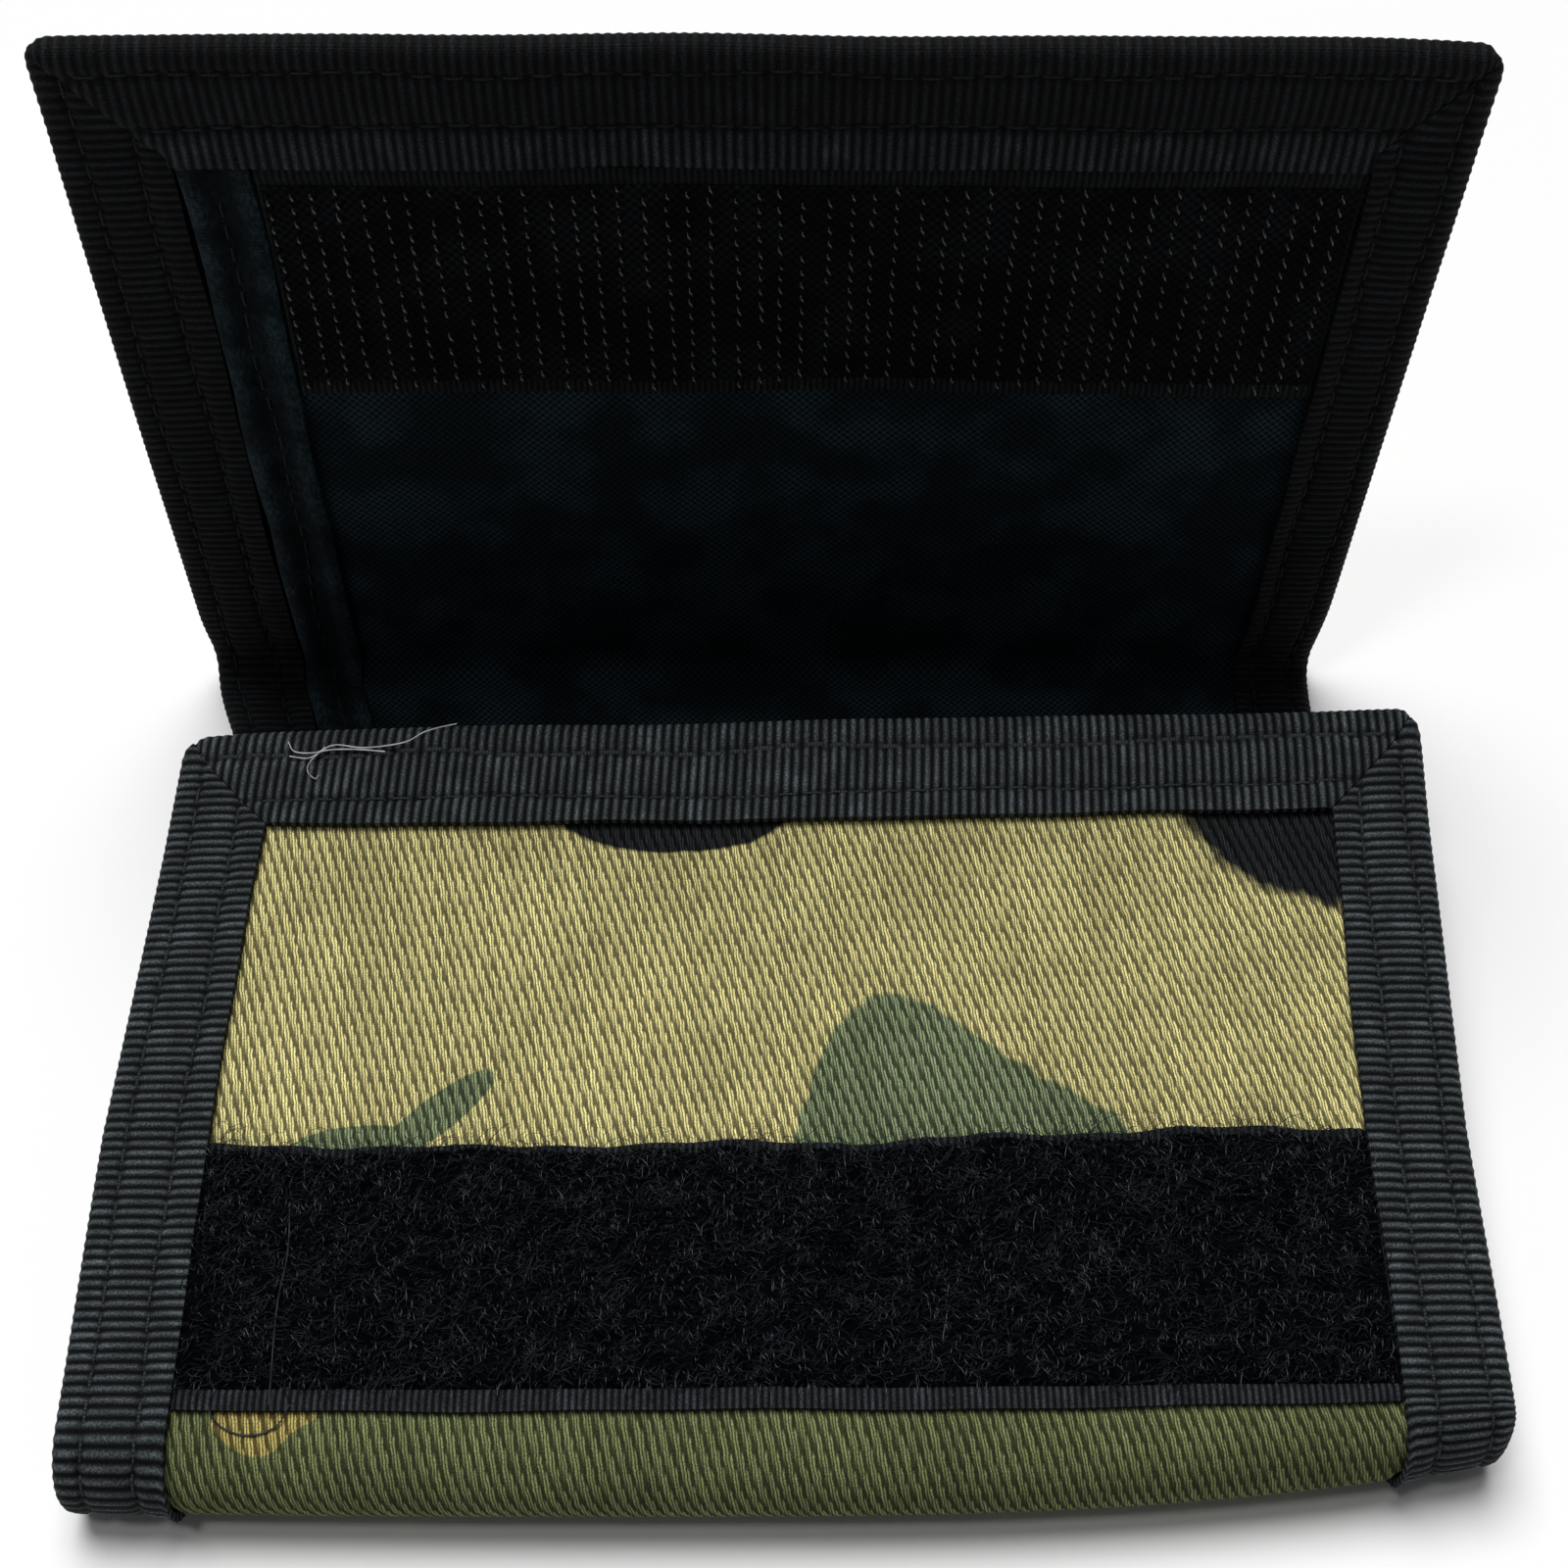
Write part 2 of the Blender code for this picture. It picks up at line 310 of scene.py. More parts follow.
def mesh_from(name, points, face_sets):
    """A mesh from points in metres and arrays of faces, turned the right way out."""
    volume = 0.0
    for faces in face_sets:
        p = points[faces]
        for i in range(1, faces.shape[1] - 1):
            volume += np.einsum("ij,ij->", p[:, 0], np.cross(p[:, i], p[:, i + 1]))
    if volume < 0:
        face_sets = [faces[:, ::-1] for faces in face_sets]
    mesh = bpy.data.meshes.new(name)
    mesh.vertices.add(len(points))
    mesh.vertices.foreach_set("co", points.astype(np.float32).ravel())
    corners = np.concatenate([faces.ravel() for faces in face_sets])
    sizes = np.concatenate([np.full(len(faces), faces.shape[1]) for faces in face_sets])
    mesh.loops.add(len(corners))
    mesh.loops.foreach_set("vertex_index", corners.astype(np.int32))
    mesh.polygons.add(len(sizes))
    starts = np.concatenate([[0], np.cumsum(sizes)[:-1]])
    mesh.polygons.foreach_set("loop_start", starts.astype(np.int32))
    mesh.update(calc_edges=True)
    return mesh


def add_piece(name, points, cloth, face_sets, material, merge=False):
    """One visible piece.  cloth holds (across, along, seed) for its material, point by point."""
    mesh = mesh_from(name, points, face_sets)
    attribute = mesh.attributes.new("cloth", "FLOAT_VECTOR", "POINT")
    attribute.data.foreach_set("vector", cloth.astype(np.float32).ravel())
    if merge:
        bm = bmesh.new()
        bm.from_mesh(mesh)
        bmesh.ops.remove_doubles(bm, verts=bm.verts, dist=MERGED)
        bmesh.ops.dissolve_degenerate(bm, edges=bm.edges, dist=MERGED / 10)
        bm.to_mesh(mesh)
        bm.free()
    mesh.shade_smooth()
    mesh.set_sharp_from_angle(angle=SHARP)
    mesh.materials.append(MATERIALS[material])
    return add_object(name, mesh)


def grid_of(*lengths):
    """A grid of points (x, s, w), or of the cloth's (across, along, seed)."""
    return np.stack(np.broadcast_arrays(*lengths), -1)


def crossed(x, s):
    """Grids of x and s, from the stations of each."""
    return np.meshgrid(x, s, indexing="ij")


def slab_faces(rings, count):
    """Faces of a closed sheet whose rings run along one face and back along the other."""
    loop = 2 * count
    index = np.arange(rings * loop).reshape(rings, loop)
    a, b = index[:-1], index[1:]
    sides = np.stack([a, np.roll(a, -1, 1), np.roll(b, -1, 1), b], -1).reshape(-1, 4)
    j = np.arange(count - 1)
    cap = np.stack([j + 1, j, loop - 1 - j, loop - 2 - j], -1)
    return [np.concatenate([sides, index[0][cap], index[-1][cap[:, ::-1]]])]


def add_slab(name, outer, inner, cloth, material, slot, merge=False, inside=0.0):
    """A closed sheet from two grids of (x, s, w), one for each face, and the cloth's coordinates.

    inside is added to the seed on the inner face."""
    grid = np.concatenate([outer, inner[:, ::-1]], axis=1)
    seeds = np.concatenate([cloth, cloth[:, ::-1] + (0.0, 0.0, inside)], axis=1)
    points = place(grid[..., 0], grid[..., 1], grid[..., 2]).reshape(-1, 3)
    faces = slab_faces(*outer.shape[:2])
    return add_piece(name, points, seeds.reshape(-1, 3), faces, material, merge)


def add_tubes(name, paths, radius, material, sides=6):
    """Closed tubes along (count, points, 3) paths of (x, s, w)."""
    count, steps = paths.shape[:2]
    radius = np.broadcast_to(radius, (count, steps))
    tangent = unit(np.gradient(paths, axis=1))
    first = unit(np.cross(tangent, ASKEW))
    second = np.cross(tangent, first)
    angle = np.arange(sides) * 2 * math.pi / sides
    ring = first[:, :, None] * np.cos(angle)[:, None] + second[:, :, None] * np.sin(angle)[:, None]
    grid = paths[:, :, None] + ring * radius[:, :, None, None]
    index = np.arange(count * steps * sides).reshape(count, steps, sides)
    a, b = index[:, :-1], index[:, 1:]
    walls = np.stack([a, np.roll(a, -1, 2), np.roll(b, -1, 2), b], -1).reshape(-1, 4)
    ends = np.concatenate([index[:, 0, ::-1], index[:, -1]])
    points = place(grid[..., 0], grid[..., 1], grid[..., 2]).reshape(-1, 3)
    along = np.linspace(0.0, 1.0, steps)[None, :, None]
    cloth = grid_of(paths[:, :1, None, 0], paths[:, :1, None, 1], along, index)[..., :3]
    return add_piece(name, points, cloth.reshape(-1, 3), [walls, ends], material)


def stations(low, high, step):
    """Even stations, the same ones for every piece, with the piece's own ends added."""
    inner = np.arange(math.ceil(low / step + 0.01), math.ceil(high / step - 0.01)) * step
    return np.concatenate([[low], inner, [high]])


# Which bodies meet at each fold, and the chords between them


CHORD = (0.53, 0.69)  # a near blend's along and inward reach, in fold radii
FAR_BLEND_REACH = 3.0  # each side of the far crease


def near_chord(w):
    """Middle panel to near spine; it ends before the spine, so that drawn-in cloth keeps whole."""
    radius = FOLD_RADIUS - w
    start = np.array((LOW[1] + FOLD_RADIUS, w))
    return start, start + radius * np.array((-CHORD[0], CHORD[1]))


def front_chord(w):
    """Front panel to near spine, the same way."""
    radius = FOLD_RADIUS - w
    edge, inward = STRIP.at(np.array([FRONT_END]))
    start = edge[0] + inward[0] * w
    heading = np.array((inward[0][1], -inward[0][0]))
    return start, start + radius * (CHORD[0] * heading + CHORD[1] * inward[0])


def far_chord(w):
    crease = joint_at("far_spine_fold")[0]
    return np.array((crease - FAR_BLEND_REACH, w)), np.array((crease + FAR_BLEND_REACH, w))


def flap_chord(w):
    return np.array((HIGH[1] - FOLD_RADIUS, w)), np.array((HIGH[1] - w, FOLD_RADIUS))


BENDS = {
    "front": ("front", "near_spine", front_chord),
    "near": ("middle", "near_spine", near_chord),
    "far": ("middle", "far_spine", far_chord),
    "flap": ("far_spine", "flap", flap_chord),
}


def bend(piece, part, w):
    """Bakes a piece's transform; the bodies and chord of the fold that its part of the strip holds are
    looked up, but the piece is not blended across it.
    """
    first, second, chord = BENDS[part]
    start, end = (Vector((0.0, y * MM, z * MM)) for y, z in chord(w))
    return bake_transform(piece)


def nodes_of(part, layer):
    """The CAD nodes that one part of a layer stands for."""
    return [f"{body}_{layer}" for body in STANDS_FOR[part]]


# Materials


class Graph:
    """A material's node tree, with short calls for the nodes used here."""

    def __init__(self, name, roughness, specular=0.5):
        self.material = bpy.data.materials.new(name)
        self.material.use_nodes = True
        self.tree = self.material.node_tree
        self.shader = self.tree.nodes["Principled BSDF"]
        self.shader.inputs["Roughness"].default_value = roughness
        self.shader.inputs["Specular IOR Level"].default_value = specular
        self.cloth = self.node("Attribute", {}, "Vector", attribute_name="cloth")
        parts = [self.node("SeparateXYZ", {0: self.cloth}, i) for i in range(3)]
        self.across, self.along, self.seed = parts

    def put(self, socket, value):
        if isinstance(value, bpy.types.NodeSocket):
            self.tree.links.new(value, socket)
        elif hasattr(value, "__len__") and len(value) == 3 and len(socket.default_value) == 4:
            socket.default_value = (*value, 1.0)
        else:
            socket.default_value = value

    def node(self, kind, inputs, output=0, **settings):
        """An output of a new node; inputs holds sockets or values, by name or number."""
        node = self.tree.nodes.new(f"ShaderNode{kind}")
        for setting, value in settings.items():
            setattr(node, setting, value)
        for key, value in inputs.items():
            self.put(node.inputs[key], value)
        return node.outputs[output]

    def math(self, operation, *values):
        return self.node("Math", dict(enumerate(values)), operation=operation)

    def times(self, first, second):
        return self.math("MULTIPLY", first, second)

    def plus(self, first, second):
        return self.math("ADD", first, second)

    def step(self, value, *ends):
        """A smooth step of value between two ends, to 0 and 1 or to the two numbers that follow."""
        inputs = dict(enumerate((value, *ends)))
        return self.node("MapRange", inputs, interpolation_type="SMOOTHSTEP")

    def mapped(self, location, turn, scale):
        """Cloth coordinates measured from a place, turned, in units of scale."""
        inputs = {0: self.cloth, "Location": location, "Rotation": (0.0, 0.0, turn), "Scale": scale}
        return self.node("Mapping", inputs, vector_type="TEXTURE")

    def noise(self, size, detail=3.0, stretch=(1, 1, 1), location=(0, 0, 0)):
        """Noise from 0 to 1 whose features are about size millimetres."""
        where = self.mapped(location, 0.0, tuple(size * k for k in stretch))
        return self.node("TexNoise", {"Vector": where, "Scale": 1.0, "Detail": detail}, "Fac")

    def wander(self, size, detail, reach):
        """Noise about zero, over a span of reach."""
        return self.times(self.math("SUBTRACT", self.noise(size, detail), 0.5), reach)

    def mix(self, factor, first, second):
        return self.node("Mix", {0: factor, 6: first, 7: second}, 2, data_type="RGBA")

    def tinted(self, colour, factor):
        """A colour times a number."""
        return self.node("VectorMath", {0: colour, "Scale": factor}, operation="SCALE")

    def bump(self, height, depth):
        """Relief of depth millimetres."""
        return self.node("Bump", {"Distance": depth * MM, "Height": height})

    def wave(self, value, pitch, power=1.0):
        """Round ridges of a pitch: 0 in the valleys, 1 on the ridges."""
        turn = self.math("SINE", self.times(value, math.pi / pitch))
        return self.math("POWER", self.math("ABSOLUTE", turn), power)

    def finish(self, colour, normal, sheen=0.0, sheen_colour=(1, 1, 1)):
        self.put(self.shader.inputs["Base Color"], colour)
        self.put(self.shader.inputs["Normal"], normal)
        self.shader.inputs["Sheen Weight"].default_value = sheen
        self.shader.inputs["Sheen Roughness"].default_value = 0.4
        self.shader.inputs["Sheen Tint"].default_value = (*sheen_colour, 1.0)
        return self.material


YARN = 0.255  # warp pitch of the twill
SKEW = 0.2  # how far its yarns lean, for each millimetre along
PICK = 1.2  # step of its diagonal from one yarn to the next
FLOATS = 4.0

TAN = (0.45, 0.405, 0.175)
GREEN = (0.147, 0.182, 0.096)
OLIVE = (0.110, 0.126, 0.053)
BROWN = (0.27, 0.22, 0.072)
BLACK = (0.0130, 0.0139, 0.0151)
SHELL_INSIDE_SHADE = (0.004, 0.0045, 0.005)  # painted shade: the shell's inner face, painted near black where it lies in shadow

# A colour's patches on the front panel, each from blobs of (x, s, half width, half length, turn),
# and its patches beyond: their size, how rare they are, how stretched and where the noise starts
PRINT = (
    (
        GREEN,
        [(12.7, 44.2, 7.5, 15.2, -18.2), (18.0, 48.8, 15.9, 9.5, -8.3)],
        [(-32.8, 41.0, 6.6, 1.9, -42.0)],
        [(-40.5, 44.6, 6.5, 2.4, -8.0)],
        (22.0, 0.57, (1.5, 1, 1), (31, 12, 0)),
    ),
    (
        BROWN,
        [(-45.3, 68.8, 4.4, 1.2, -4.0), (-46.4, 70.2, 2.1, 1.3, 10.0)],
        (24.0, 0.62, (1.3, 1, 1), (-14, 40, 0)),
    ),
    (
        BLACK,
        [(-12.5, 7.6, 12.5, 5.4, 0.0)],
        [(58.3, 4.8, 20.2, 14.4, -12.7)],
        (20.0, 0.60, (2.0, 1, 1), (60, -25, 0)),
    ),
)


def camo(g):
    """The print: broad patches, some placed on the front panel, the rest from noise."""
    wobble = g.wander(3.2, 2.0, 0.13)

    def patch(blobs):
        """Soft humps, each a half at its edge, that run together where they meet."""
        total = wobble
        for x, s, wide, long, turn in blobs:
            where = g.mapped((x, s, 0.0), math.radians(turn), (wide, long, 1000.0))
            distance = g.node("VectorMath", {0: where, 1: where}, "Value", operation="DOT_PRODUCT")
            total = g.plus(total, g.math("POWER", 0.5, distance))
        return g.step(total, 0.47, 0.53)

    def field(size, low, stretch, location):
        return g.step(g.noise(size, 1.5, stretch, location), low - 0.008, low + 0.008)

    beyond = g.step(g.along, 88.0, 92.0)
    under_strip = g.step(g.along, 55.0, 56.0)
    far_print = g.mix(field(26.0, 0.5, (1.6, 1, 1), (7, 3, 0)), TAN, OLIVE)
    colour = g.mix(beyond, g.mix(under_strip, TAN, OLIVE), far_print)
    for ink, *placed, elsewhere in PRINT:
        mask = g.times(beyond, field(*elsewhere))
        for blobs in placed:
            mask = g.math("MAXIMUM", mask, patch(blobs))
        colour = g.mix(mask, colour, ink)
    return colour


def printed_twill():
    g = Graph("camo_twill_print", 0.95, 0.08)
    sway = g.wander(1.1, 3.0, 0.36)
    leaning = g.math("SUBTRACT", g.across, g.times(g.along, SKEW))
    yarns = g.math("DIVIDE", g.plus(leaning, sway), YARN)
    number = g.math("FLOOR", yarns)
    random = g.node("TexWhiteNoise", {"W": number}, "Value", noise_dimensions="1D")
    slip = g.times(random, 0.45)
    picks = g.math("SUBTRACT", g.math("DIVIDE", g.along, PICK), g.plus(number, slip))
    on_float = g.math("FRACT", g.math("DIVIDE", picks, FLOATS))
    float_height = g.times(g.step(on_float, 0.0, 0.14), g.step(on_float, 0.40, 0.86, 1.0, 0.0))
    yarn_round = g.math("SINE", g.times(g.math("FRACT", yarns), math.pi))
    height = g.times(float_height, yarn_round)
    per_yarn = g.step(random, 0.0, 1.0, 0.88, 1.12)
    fuzz = g.step(g.noise(0.14, 2.0), 0.3, 0.7, 0.62, 1.38)
    cloud = g.step(g.noise(11.0, 4.0), 0.35, 0.65, 0.86, 1.06)
    # Painted highlight on the floats and painted shade between them, times random tone per yarn, fuzz
    # and cloud
    shade = g.step(height, -0.1, 0.9, 0.2, 1.98)
    shade = g.times(g.times(shade, per_yarn), g.times(fuzz, cloud))
    normal = g.bump(g.plus(height, g.times(fuzz, 0.25)), 0.14)
    # The print on the outer face; painted shade, near black, on the inner face
    print_and_inside_shade = g.mix(g.seed, camo(g), SHELL_INSIDE_SHADE)
    return g.finish(g.tinted(print_and_inside_shade, shade), normal)


def ribbed_tape(name, base, ridge, free_edge=1.0):
    """Ribbed tape: painted shade between the ribs, paler on them, partly dust and partly a painted
    highlight, with fine warp threads.

    free_edge is how much paler it is painted past its inner stitch row: a painted highlight on the band
    there, which tilts up to the light."""
    g = Graph(name, 0.8, 0.12)
    rib = g.wave(g.along, RIB_PITCH, 3.0)
    threads = g.wave(g.plus(g.across, g.times(g.noise(0.4), 0.1)), 0.15, 1.0)
    fuzz = g.step(g.noise(0.2, 3.0), 0.3, 0.7)
    dust = g.step(g.noise(4.0, 4.0), 0.42, 0.72)
    # Paler on the rib tops, partly dusty fibres and partly a painted highlight; painted shade between
    # the ribs
    tone = g.mix(rib, base, ridge)
    hue = g.mix(g.step(g.noise(2.4, 2.0), 0.4, 0.6), tone, g.tinted(tone, 0.75))
    # Random fuzz tone, and a painted highlight on the tops of the warp threads
    grain = g.times(g.step(fuzz, 0.0, 1.0, 0.5, 1.5), g.step(threads, 0.0, 1.0, 0.8, 1.2))
    # Painted shade: darker along the stitch rows, where the ribs are nipped in
    painted_row_shade = g.step(g.seed, 0.0, 1.0, 1.0, 0.3)
    shade = g.times(g.times(grain, painted_row_shade), g.step(dust, 0.0, 1.0, 0.85, 1.4))
    if free_edge != 1.0:
        # Painted highlight: paler past the inner stitch row, where the band tilts up to the light
        painted_highlight_past_row = g.step(g.across, STITCH_ROWS[-1], STITCH_ROWS[-1] + 0.9, 1.0, free_edge)
        shade = g.times(shade, painted_highlight_past_row)
    height = g.plus(g.times(threads, 0.5), fuzz)
    return g.finish(g.tinted(hue, shade), g.bump(height, 0.05))


def brushed_tape(name, base, light):
    """Soft narrow tape with a napped, slightly faded surface."""
    g = Graph(name, 0.9, 0.08)
    nap = g.noise(0.5, 4.0, (0.6, 1.6, 1.0))
    worn = g.step(g.noise(3.5, 3.0), 0.35, 0.7)
    edge = g.wave(g.along, 0.4, 1.0)
    tone = g.mix(g.times(worn, nap), base, light)
    height = g.plus(nap, g.times(edge, 0.25))
    # Painted highlight on the fine raised ribs; painted shade along the sewn middle, lighter towards the
    # rolled edges
    shade = g.times(g.step(nap, 0.3, 0.7, 0.5, 1.6), g.step(edge, 0.0, 1.0, 0.8, 1.1))
    from_middle = g.math("ABSOLUTE", g.math("SUBTRACT", g.across, INNER_BINDING / 2))
    shade = g.times(shade, g.step(from_middle, 0.7, 2.3, 0.5, 1.35))
    return g.finish(g.tinted(tone, shade), g.bump(height, 0.14), 0.02, (0.6, 0.8, 0.9))


def plain_weave(name, base, light, pitch):
    g = Graph(name, 0.9, 0.06)
    sway = g.wander(2.5, 2.0, 0.35)
    over = g.math("SINE", g.times(g.plus(g.across, sway), math.pi / pitch))
    under = g.math("SINE", g.times(g.plus(g.along, sway), math.pi / pitch))
    weave = g.step(g.times(over, under), -1.0, 1.0)
    fuzz = g.noise(0.2, 3.0)
    cloud = g.step(g.noise(9.0, 4.0), 0.35, 0.7)
    # Lighter on the weave's raised crossings: painted highlight; darker between them: painted shade
    tone = g.mix(g.times(weave, g.step(fuzz, 0.25, 0.75, 0.4, 1.2)), base, light)
    height = g.plus(weave, g.times(fuzz, 0.6))
    shade = g.step(cloud, 0.0, 1.0, 0.55, 1.4)
    return g.finish(g.tinted(tone, shade), g.bump(height, 0.09), 0.015, (0.5, 0.8, 0.9))


def pile_look(name, base, light, roughness, specular):
    """Nylon pile or loops: near black, catching light here and there."""
    g = Graph(name, roughness, specular)
    mat = g.noise(0.35, 4.0)
    clumps = g.step(g.noise(2.2, 3.0), 0.35, 0.7)
    tone = g.mix(g.times(mat, clumps), base, light)
    return g.finish(tone, g.bump(mat, 0.12))


def hook_look():
    g = Graph("hook_nylon", 0.30, 0.8)
    grain = g.noise(0.6, 2.0)
    return g.finish(g.mix(grain, (0.0015, 0.0015, 0.002), (0.007, 0.0075, 0.0085)), g.bump(grain, 0.02))


def thread_look(name, base, light):
    """Twisted sewing thread."""
    g = Graph(name, 0.65, 0.15)
    ply = g.wave(g.plus(g.seed, g.times(g.noise(0.8), 0.1)), 0.16, 1.0)
    # Lighter on the ply's raised twists: painted highlight
    tone = g.mix(g.times(ply, g.noise(6.0, 2.0)), base, light)
    return g.finish(tone, g.bump(ply, 0.05))


def vinyl_look():
    g = Graph("clear_vinyl_sheet", 0.14, 0.5)
    scuff = g.noise(3.0, 5.0)
    g.shader.inputs["Alpha"].default_value = 0.13
    return g.finish(g.mix(scuff, (0.70, 0.73, 0.72), (0.85, 0.88, 0.87)), g.bump(scuff, 0.08))


TAPE_TONES = ((0.0010, 0.0013, 0.0015), (0.061, 0.073, 0.079))
# Painted shade: darker copies of the tape's tones for the flap, which faces away from the key light
SHADED_TONES = ((0.0006, 0.0008, 0.0011), (0.0085, 0.0100, 0.0125))

# Each piece's material: the call that makes it, then its name, dark and light tone, and the rest
RECIPES = {
    "binding": (ribbed_tape, "grosgrain_tape", *TAPE_TONES),
    # Painted shade: the front's tape, made darker for the flap
    "flap_binding": (ribbed_tape, "grosgrain_tape_shaded", *SHADED_TONES),
    # Painted shade, with a painted highlight on the band past its inner stitch row
    "flap_end_binding": (ribbed_tape, "grosgrain_tape_shaded_end", *SHADED_TONES, 3.0),
    "selvage": (ribbed_tape, "woven_selvage", (0.002, 0.0024, 0.003), (0.036, 0.042, 0.048)),
    "inner_tape": (brushed_tape, "brushed_tape", (0.002, 0.004, 0.0055), (0.013, 0.023, 0.029)),
    "lining": (plain_weave, "lining_weave", (0.0007, 0.003, 0.005), (0.017, 0.029, 0.037), 0.42),
    "pocket": (plain_weave, "pocket_weave", (0.003, 0.006, 0.008), (0.013, 0.022, 0.028), 0.42),
    # Painted shade: the pile's base is much darker than its loops, standing for the shade deep in the
    # pile
    "pile": (pile_look, "loop_pile_base", (0.0006, 0.0008, 0.0012), (0.003, 0.0036, 0.005), 1.0, 0.02),
    "loops": (pile_look, "loop_nylon", (0.0015, 0.0018, 0.0025), (0.030, 0.036, 0.047), 0.45, 0.28),
    "hook_selvage": (ribbed_tape, "hook_strip_selvage", (0.001, 0.0012, 0.0016), (0.01, 0.012, 0.014)),
    "hook_base": (plain_weave, "hook_base_weave", (0.0006, 0.0007, 0.001), (0.007, 0.008, 0.01), 0.5),
    "thread": (thread_look, "sewing_thread", (0.007, 0.009, 0.010), (0.048, 0.056, 0.059)),
    # Painted shade: a darker copy of the thread, for the flap
    "flap_thread": (thread_look, "sewing_thread_shaded", (0.003, 0.0035, 0.004), (0.016, 0.018, 0.020)),
    "lint": (thread_look, "pale_lint", (0.30, 0.31, 0.32), (0.55, 0.56, 0.58)),
    "twill": (printed_twill,),
    "hooks": (hook_look,),
    "vinyl": (vinyl_look,),
}
MATERIALS = {piece: make(*values) for piece, (make, *values) in RECIPES.items()}


# Shell and lining


def part_within(part, margin):
    """A part's (low, high) along the strip, kept a margin short of the strip's free ends."""
    low, high = PARTS[part]
    return max(low, margin), min(high, LENGTH - margin)


def add_layer(layer, part, xs, depth, material, slot):
    """One part of a layer that runs the whole strip."""
    step = 1.0
    low, high = part_within(part, HIDDEN)
    s = stations(low, high, step)
    x = np.linspace(*xs, round((xs[1] - xs[0]) / step) + 1)
    s, x = np.meshgrid(s, x, indexing="ij")
    outer, inner = (grid_of(x, s, w) for w in depth)
    cloth = grid_of(x, s, 0.0)
    piece = add_slab(f"{layer}_{part}", outer, inner, cloth, material, slot, inside=1.0)
    bend(piece, part, sum(depth) / 2)
    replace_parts(piece, *nodes_of(part, layer))
    return piece


# Binding tapes


def noise_line(t, seed):
    """A slow, repeatable wander between about -1 and 1."""
    return 0.6 * np.sin(t / 7.1 + seed) + 0.4 * np.sin(t / 2.9 + 2.3 * seed)


def fold_profile(reach, far_reach, thick, tape):
    """A tape folded round an edge: its middle line as (in from the edge, depth), and its normal."""
    half = tape / 2
    centre = thick / 2
    radius = centre - half
    step = 0.33
    face_out = np.linspace(reach, centre, round((reach - centre) / step))
    face_in = np.linspace(centre, far_reach, round((far_reach - centre) / step))
    turn = np.linspace(-math.pi / 2, math.pi / 2, 9)[1:-1]
    q = np.concatenate([face_out, centre - radius * np.cos(turn), face_in])
    flat_out, flat_in = np.ones_like(face_out), np.ones_like(face_in)
    w = np.concatenate([half * flat_out, centre + radius * np.sin(turn), (thick - half) * flat_in])
    nq = np.concatenate([0 * flat_out, -np.cos(turn), 0 * flat_in])
    nw = np.concatenate([-flat_out, np.sin(turn), flat_in])
    return q, w, nq, nw


def tape_faces(profile, q, t, out, tape):
    """Both faces of a folded tape as (in from the edge, along, depth); out is the first one's relief."""
    _, w, nq, nw = profile
    sides = ((1, out), (-1, tape / 2))
    return [grid_of(q + sign * nq * size, t, w + sign * nw * size) for sign, size in sides]


def row_at(row, t, seed):
    """A stitch row's distance from the edge: it wanders a little as it goes."""
    return row + 0.24 * noise_line(t, seed + row) + 0.1 * np.sin(t * 2.1 + row)


def hump(distance, width):
    """1 at no distance, falling away over about a width."""
    return np.exp(-((distance / width) ** 2))


def nip_at(q, t, seed):
    """1 on a ribbed tape's stitch rows, falling to 0 beside them."""
    return sum(hump(q - row_at(row, t, seed), 0.3) for row in STITCH_ROWS)


def between_rows(q):
    """0 to 1 from the outer stitch row to the inner one."""
    first, last = STITCH_ROWS
    return np.clip((q - first) / (last - first), 0.0, 1.0)


def relief(q, t, seed):
    """How far a ribbed tape's face stands out, with the ribs nipped in along its stitch rows."""
    rib = np.sin(math.pi * t / RIB_PITCH) ** 2
    nip = nip_at(q, t, seed)
    puff = 0.10 * np.sin(between_rows(q) * math.pi)
    holes = 0.06 * np.cos(2 * math.pi * t / STITCH_PITCH)
    free_edge = 0.22 * smooth((q - STITCH_ROWS[-1]) / 1.6)
    rib = rib * (0.45 + 0.55 * smooth(q / 2.2))
    return RIB_HEIGHT * rib * (1 - 0.6 * nip) - (0.22 + holes) * nip + puff + free_edge


def bow(q, t, seed):
    """How far the ribs lean between the stitch rows."""
    bowed = 0.4 * np.sin(between_rows(q) * math.pi) * (0.3 + noise_line(t, seed))
    jogs = [np.tanh((q - row) / 0.15) * noise_line(1.9 * t, seed + row) for row in STITCH_ROWS]
    return bowed + 0.08 * noise_line(t * 2, q / 3) + 0.26 * sum(jogs)


def tape_grids(profile, t, seed, limits):
    """Two grids of (in from the edge, along, depth) for the faces of a binding, and its cloth's.

    limits say how near to the mitres, along the tape, each line of it may come."""
    q = profile[0]
    low, high = limits
    t = np.clip(t[:, None] + bow(q, t[:, None], seed), low, high)
    to_mitre = np.minimum(t - low, high - t)
    tucked = 0.16 * hump(to_mitre, 0.5)
    out = TAPE / 2 + relief(q, t, seed) - tucked
    wander = 0.15 * noise_line(t, seed + 5) * smooth((q - 7.5) / 2)
    # The seed channel carries the stitch rows, where the tape's material paints shade
    cloth = grid_of(q, t, nip_at(q, t, seed))
    return *tape_faces(profile, q + wander, t, out, TAPE), cloth


MITRE_GAP = 0.06
NO_LIMIT = 1e6
SIDE_SEED = 3.7
END_SEEDS = {"front": 8.1, "flap": 1.9}
# How far an end binding reaches on its inner face, and the right binding it meets there
END_REACHES = {"front": (BINDING, BINDING), "flap": (FLAP_END_BINDING, FLAP_RIGHT_BINDING)}


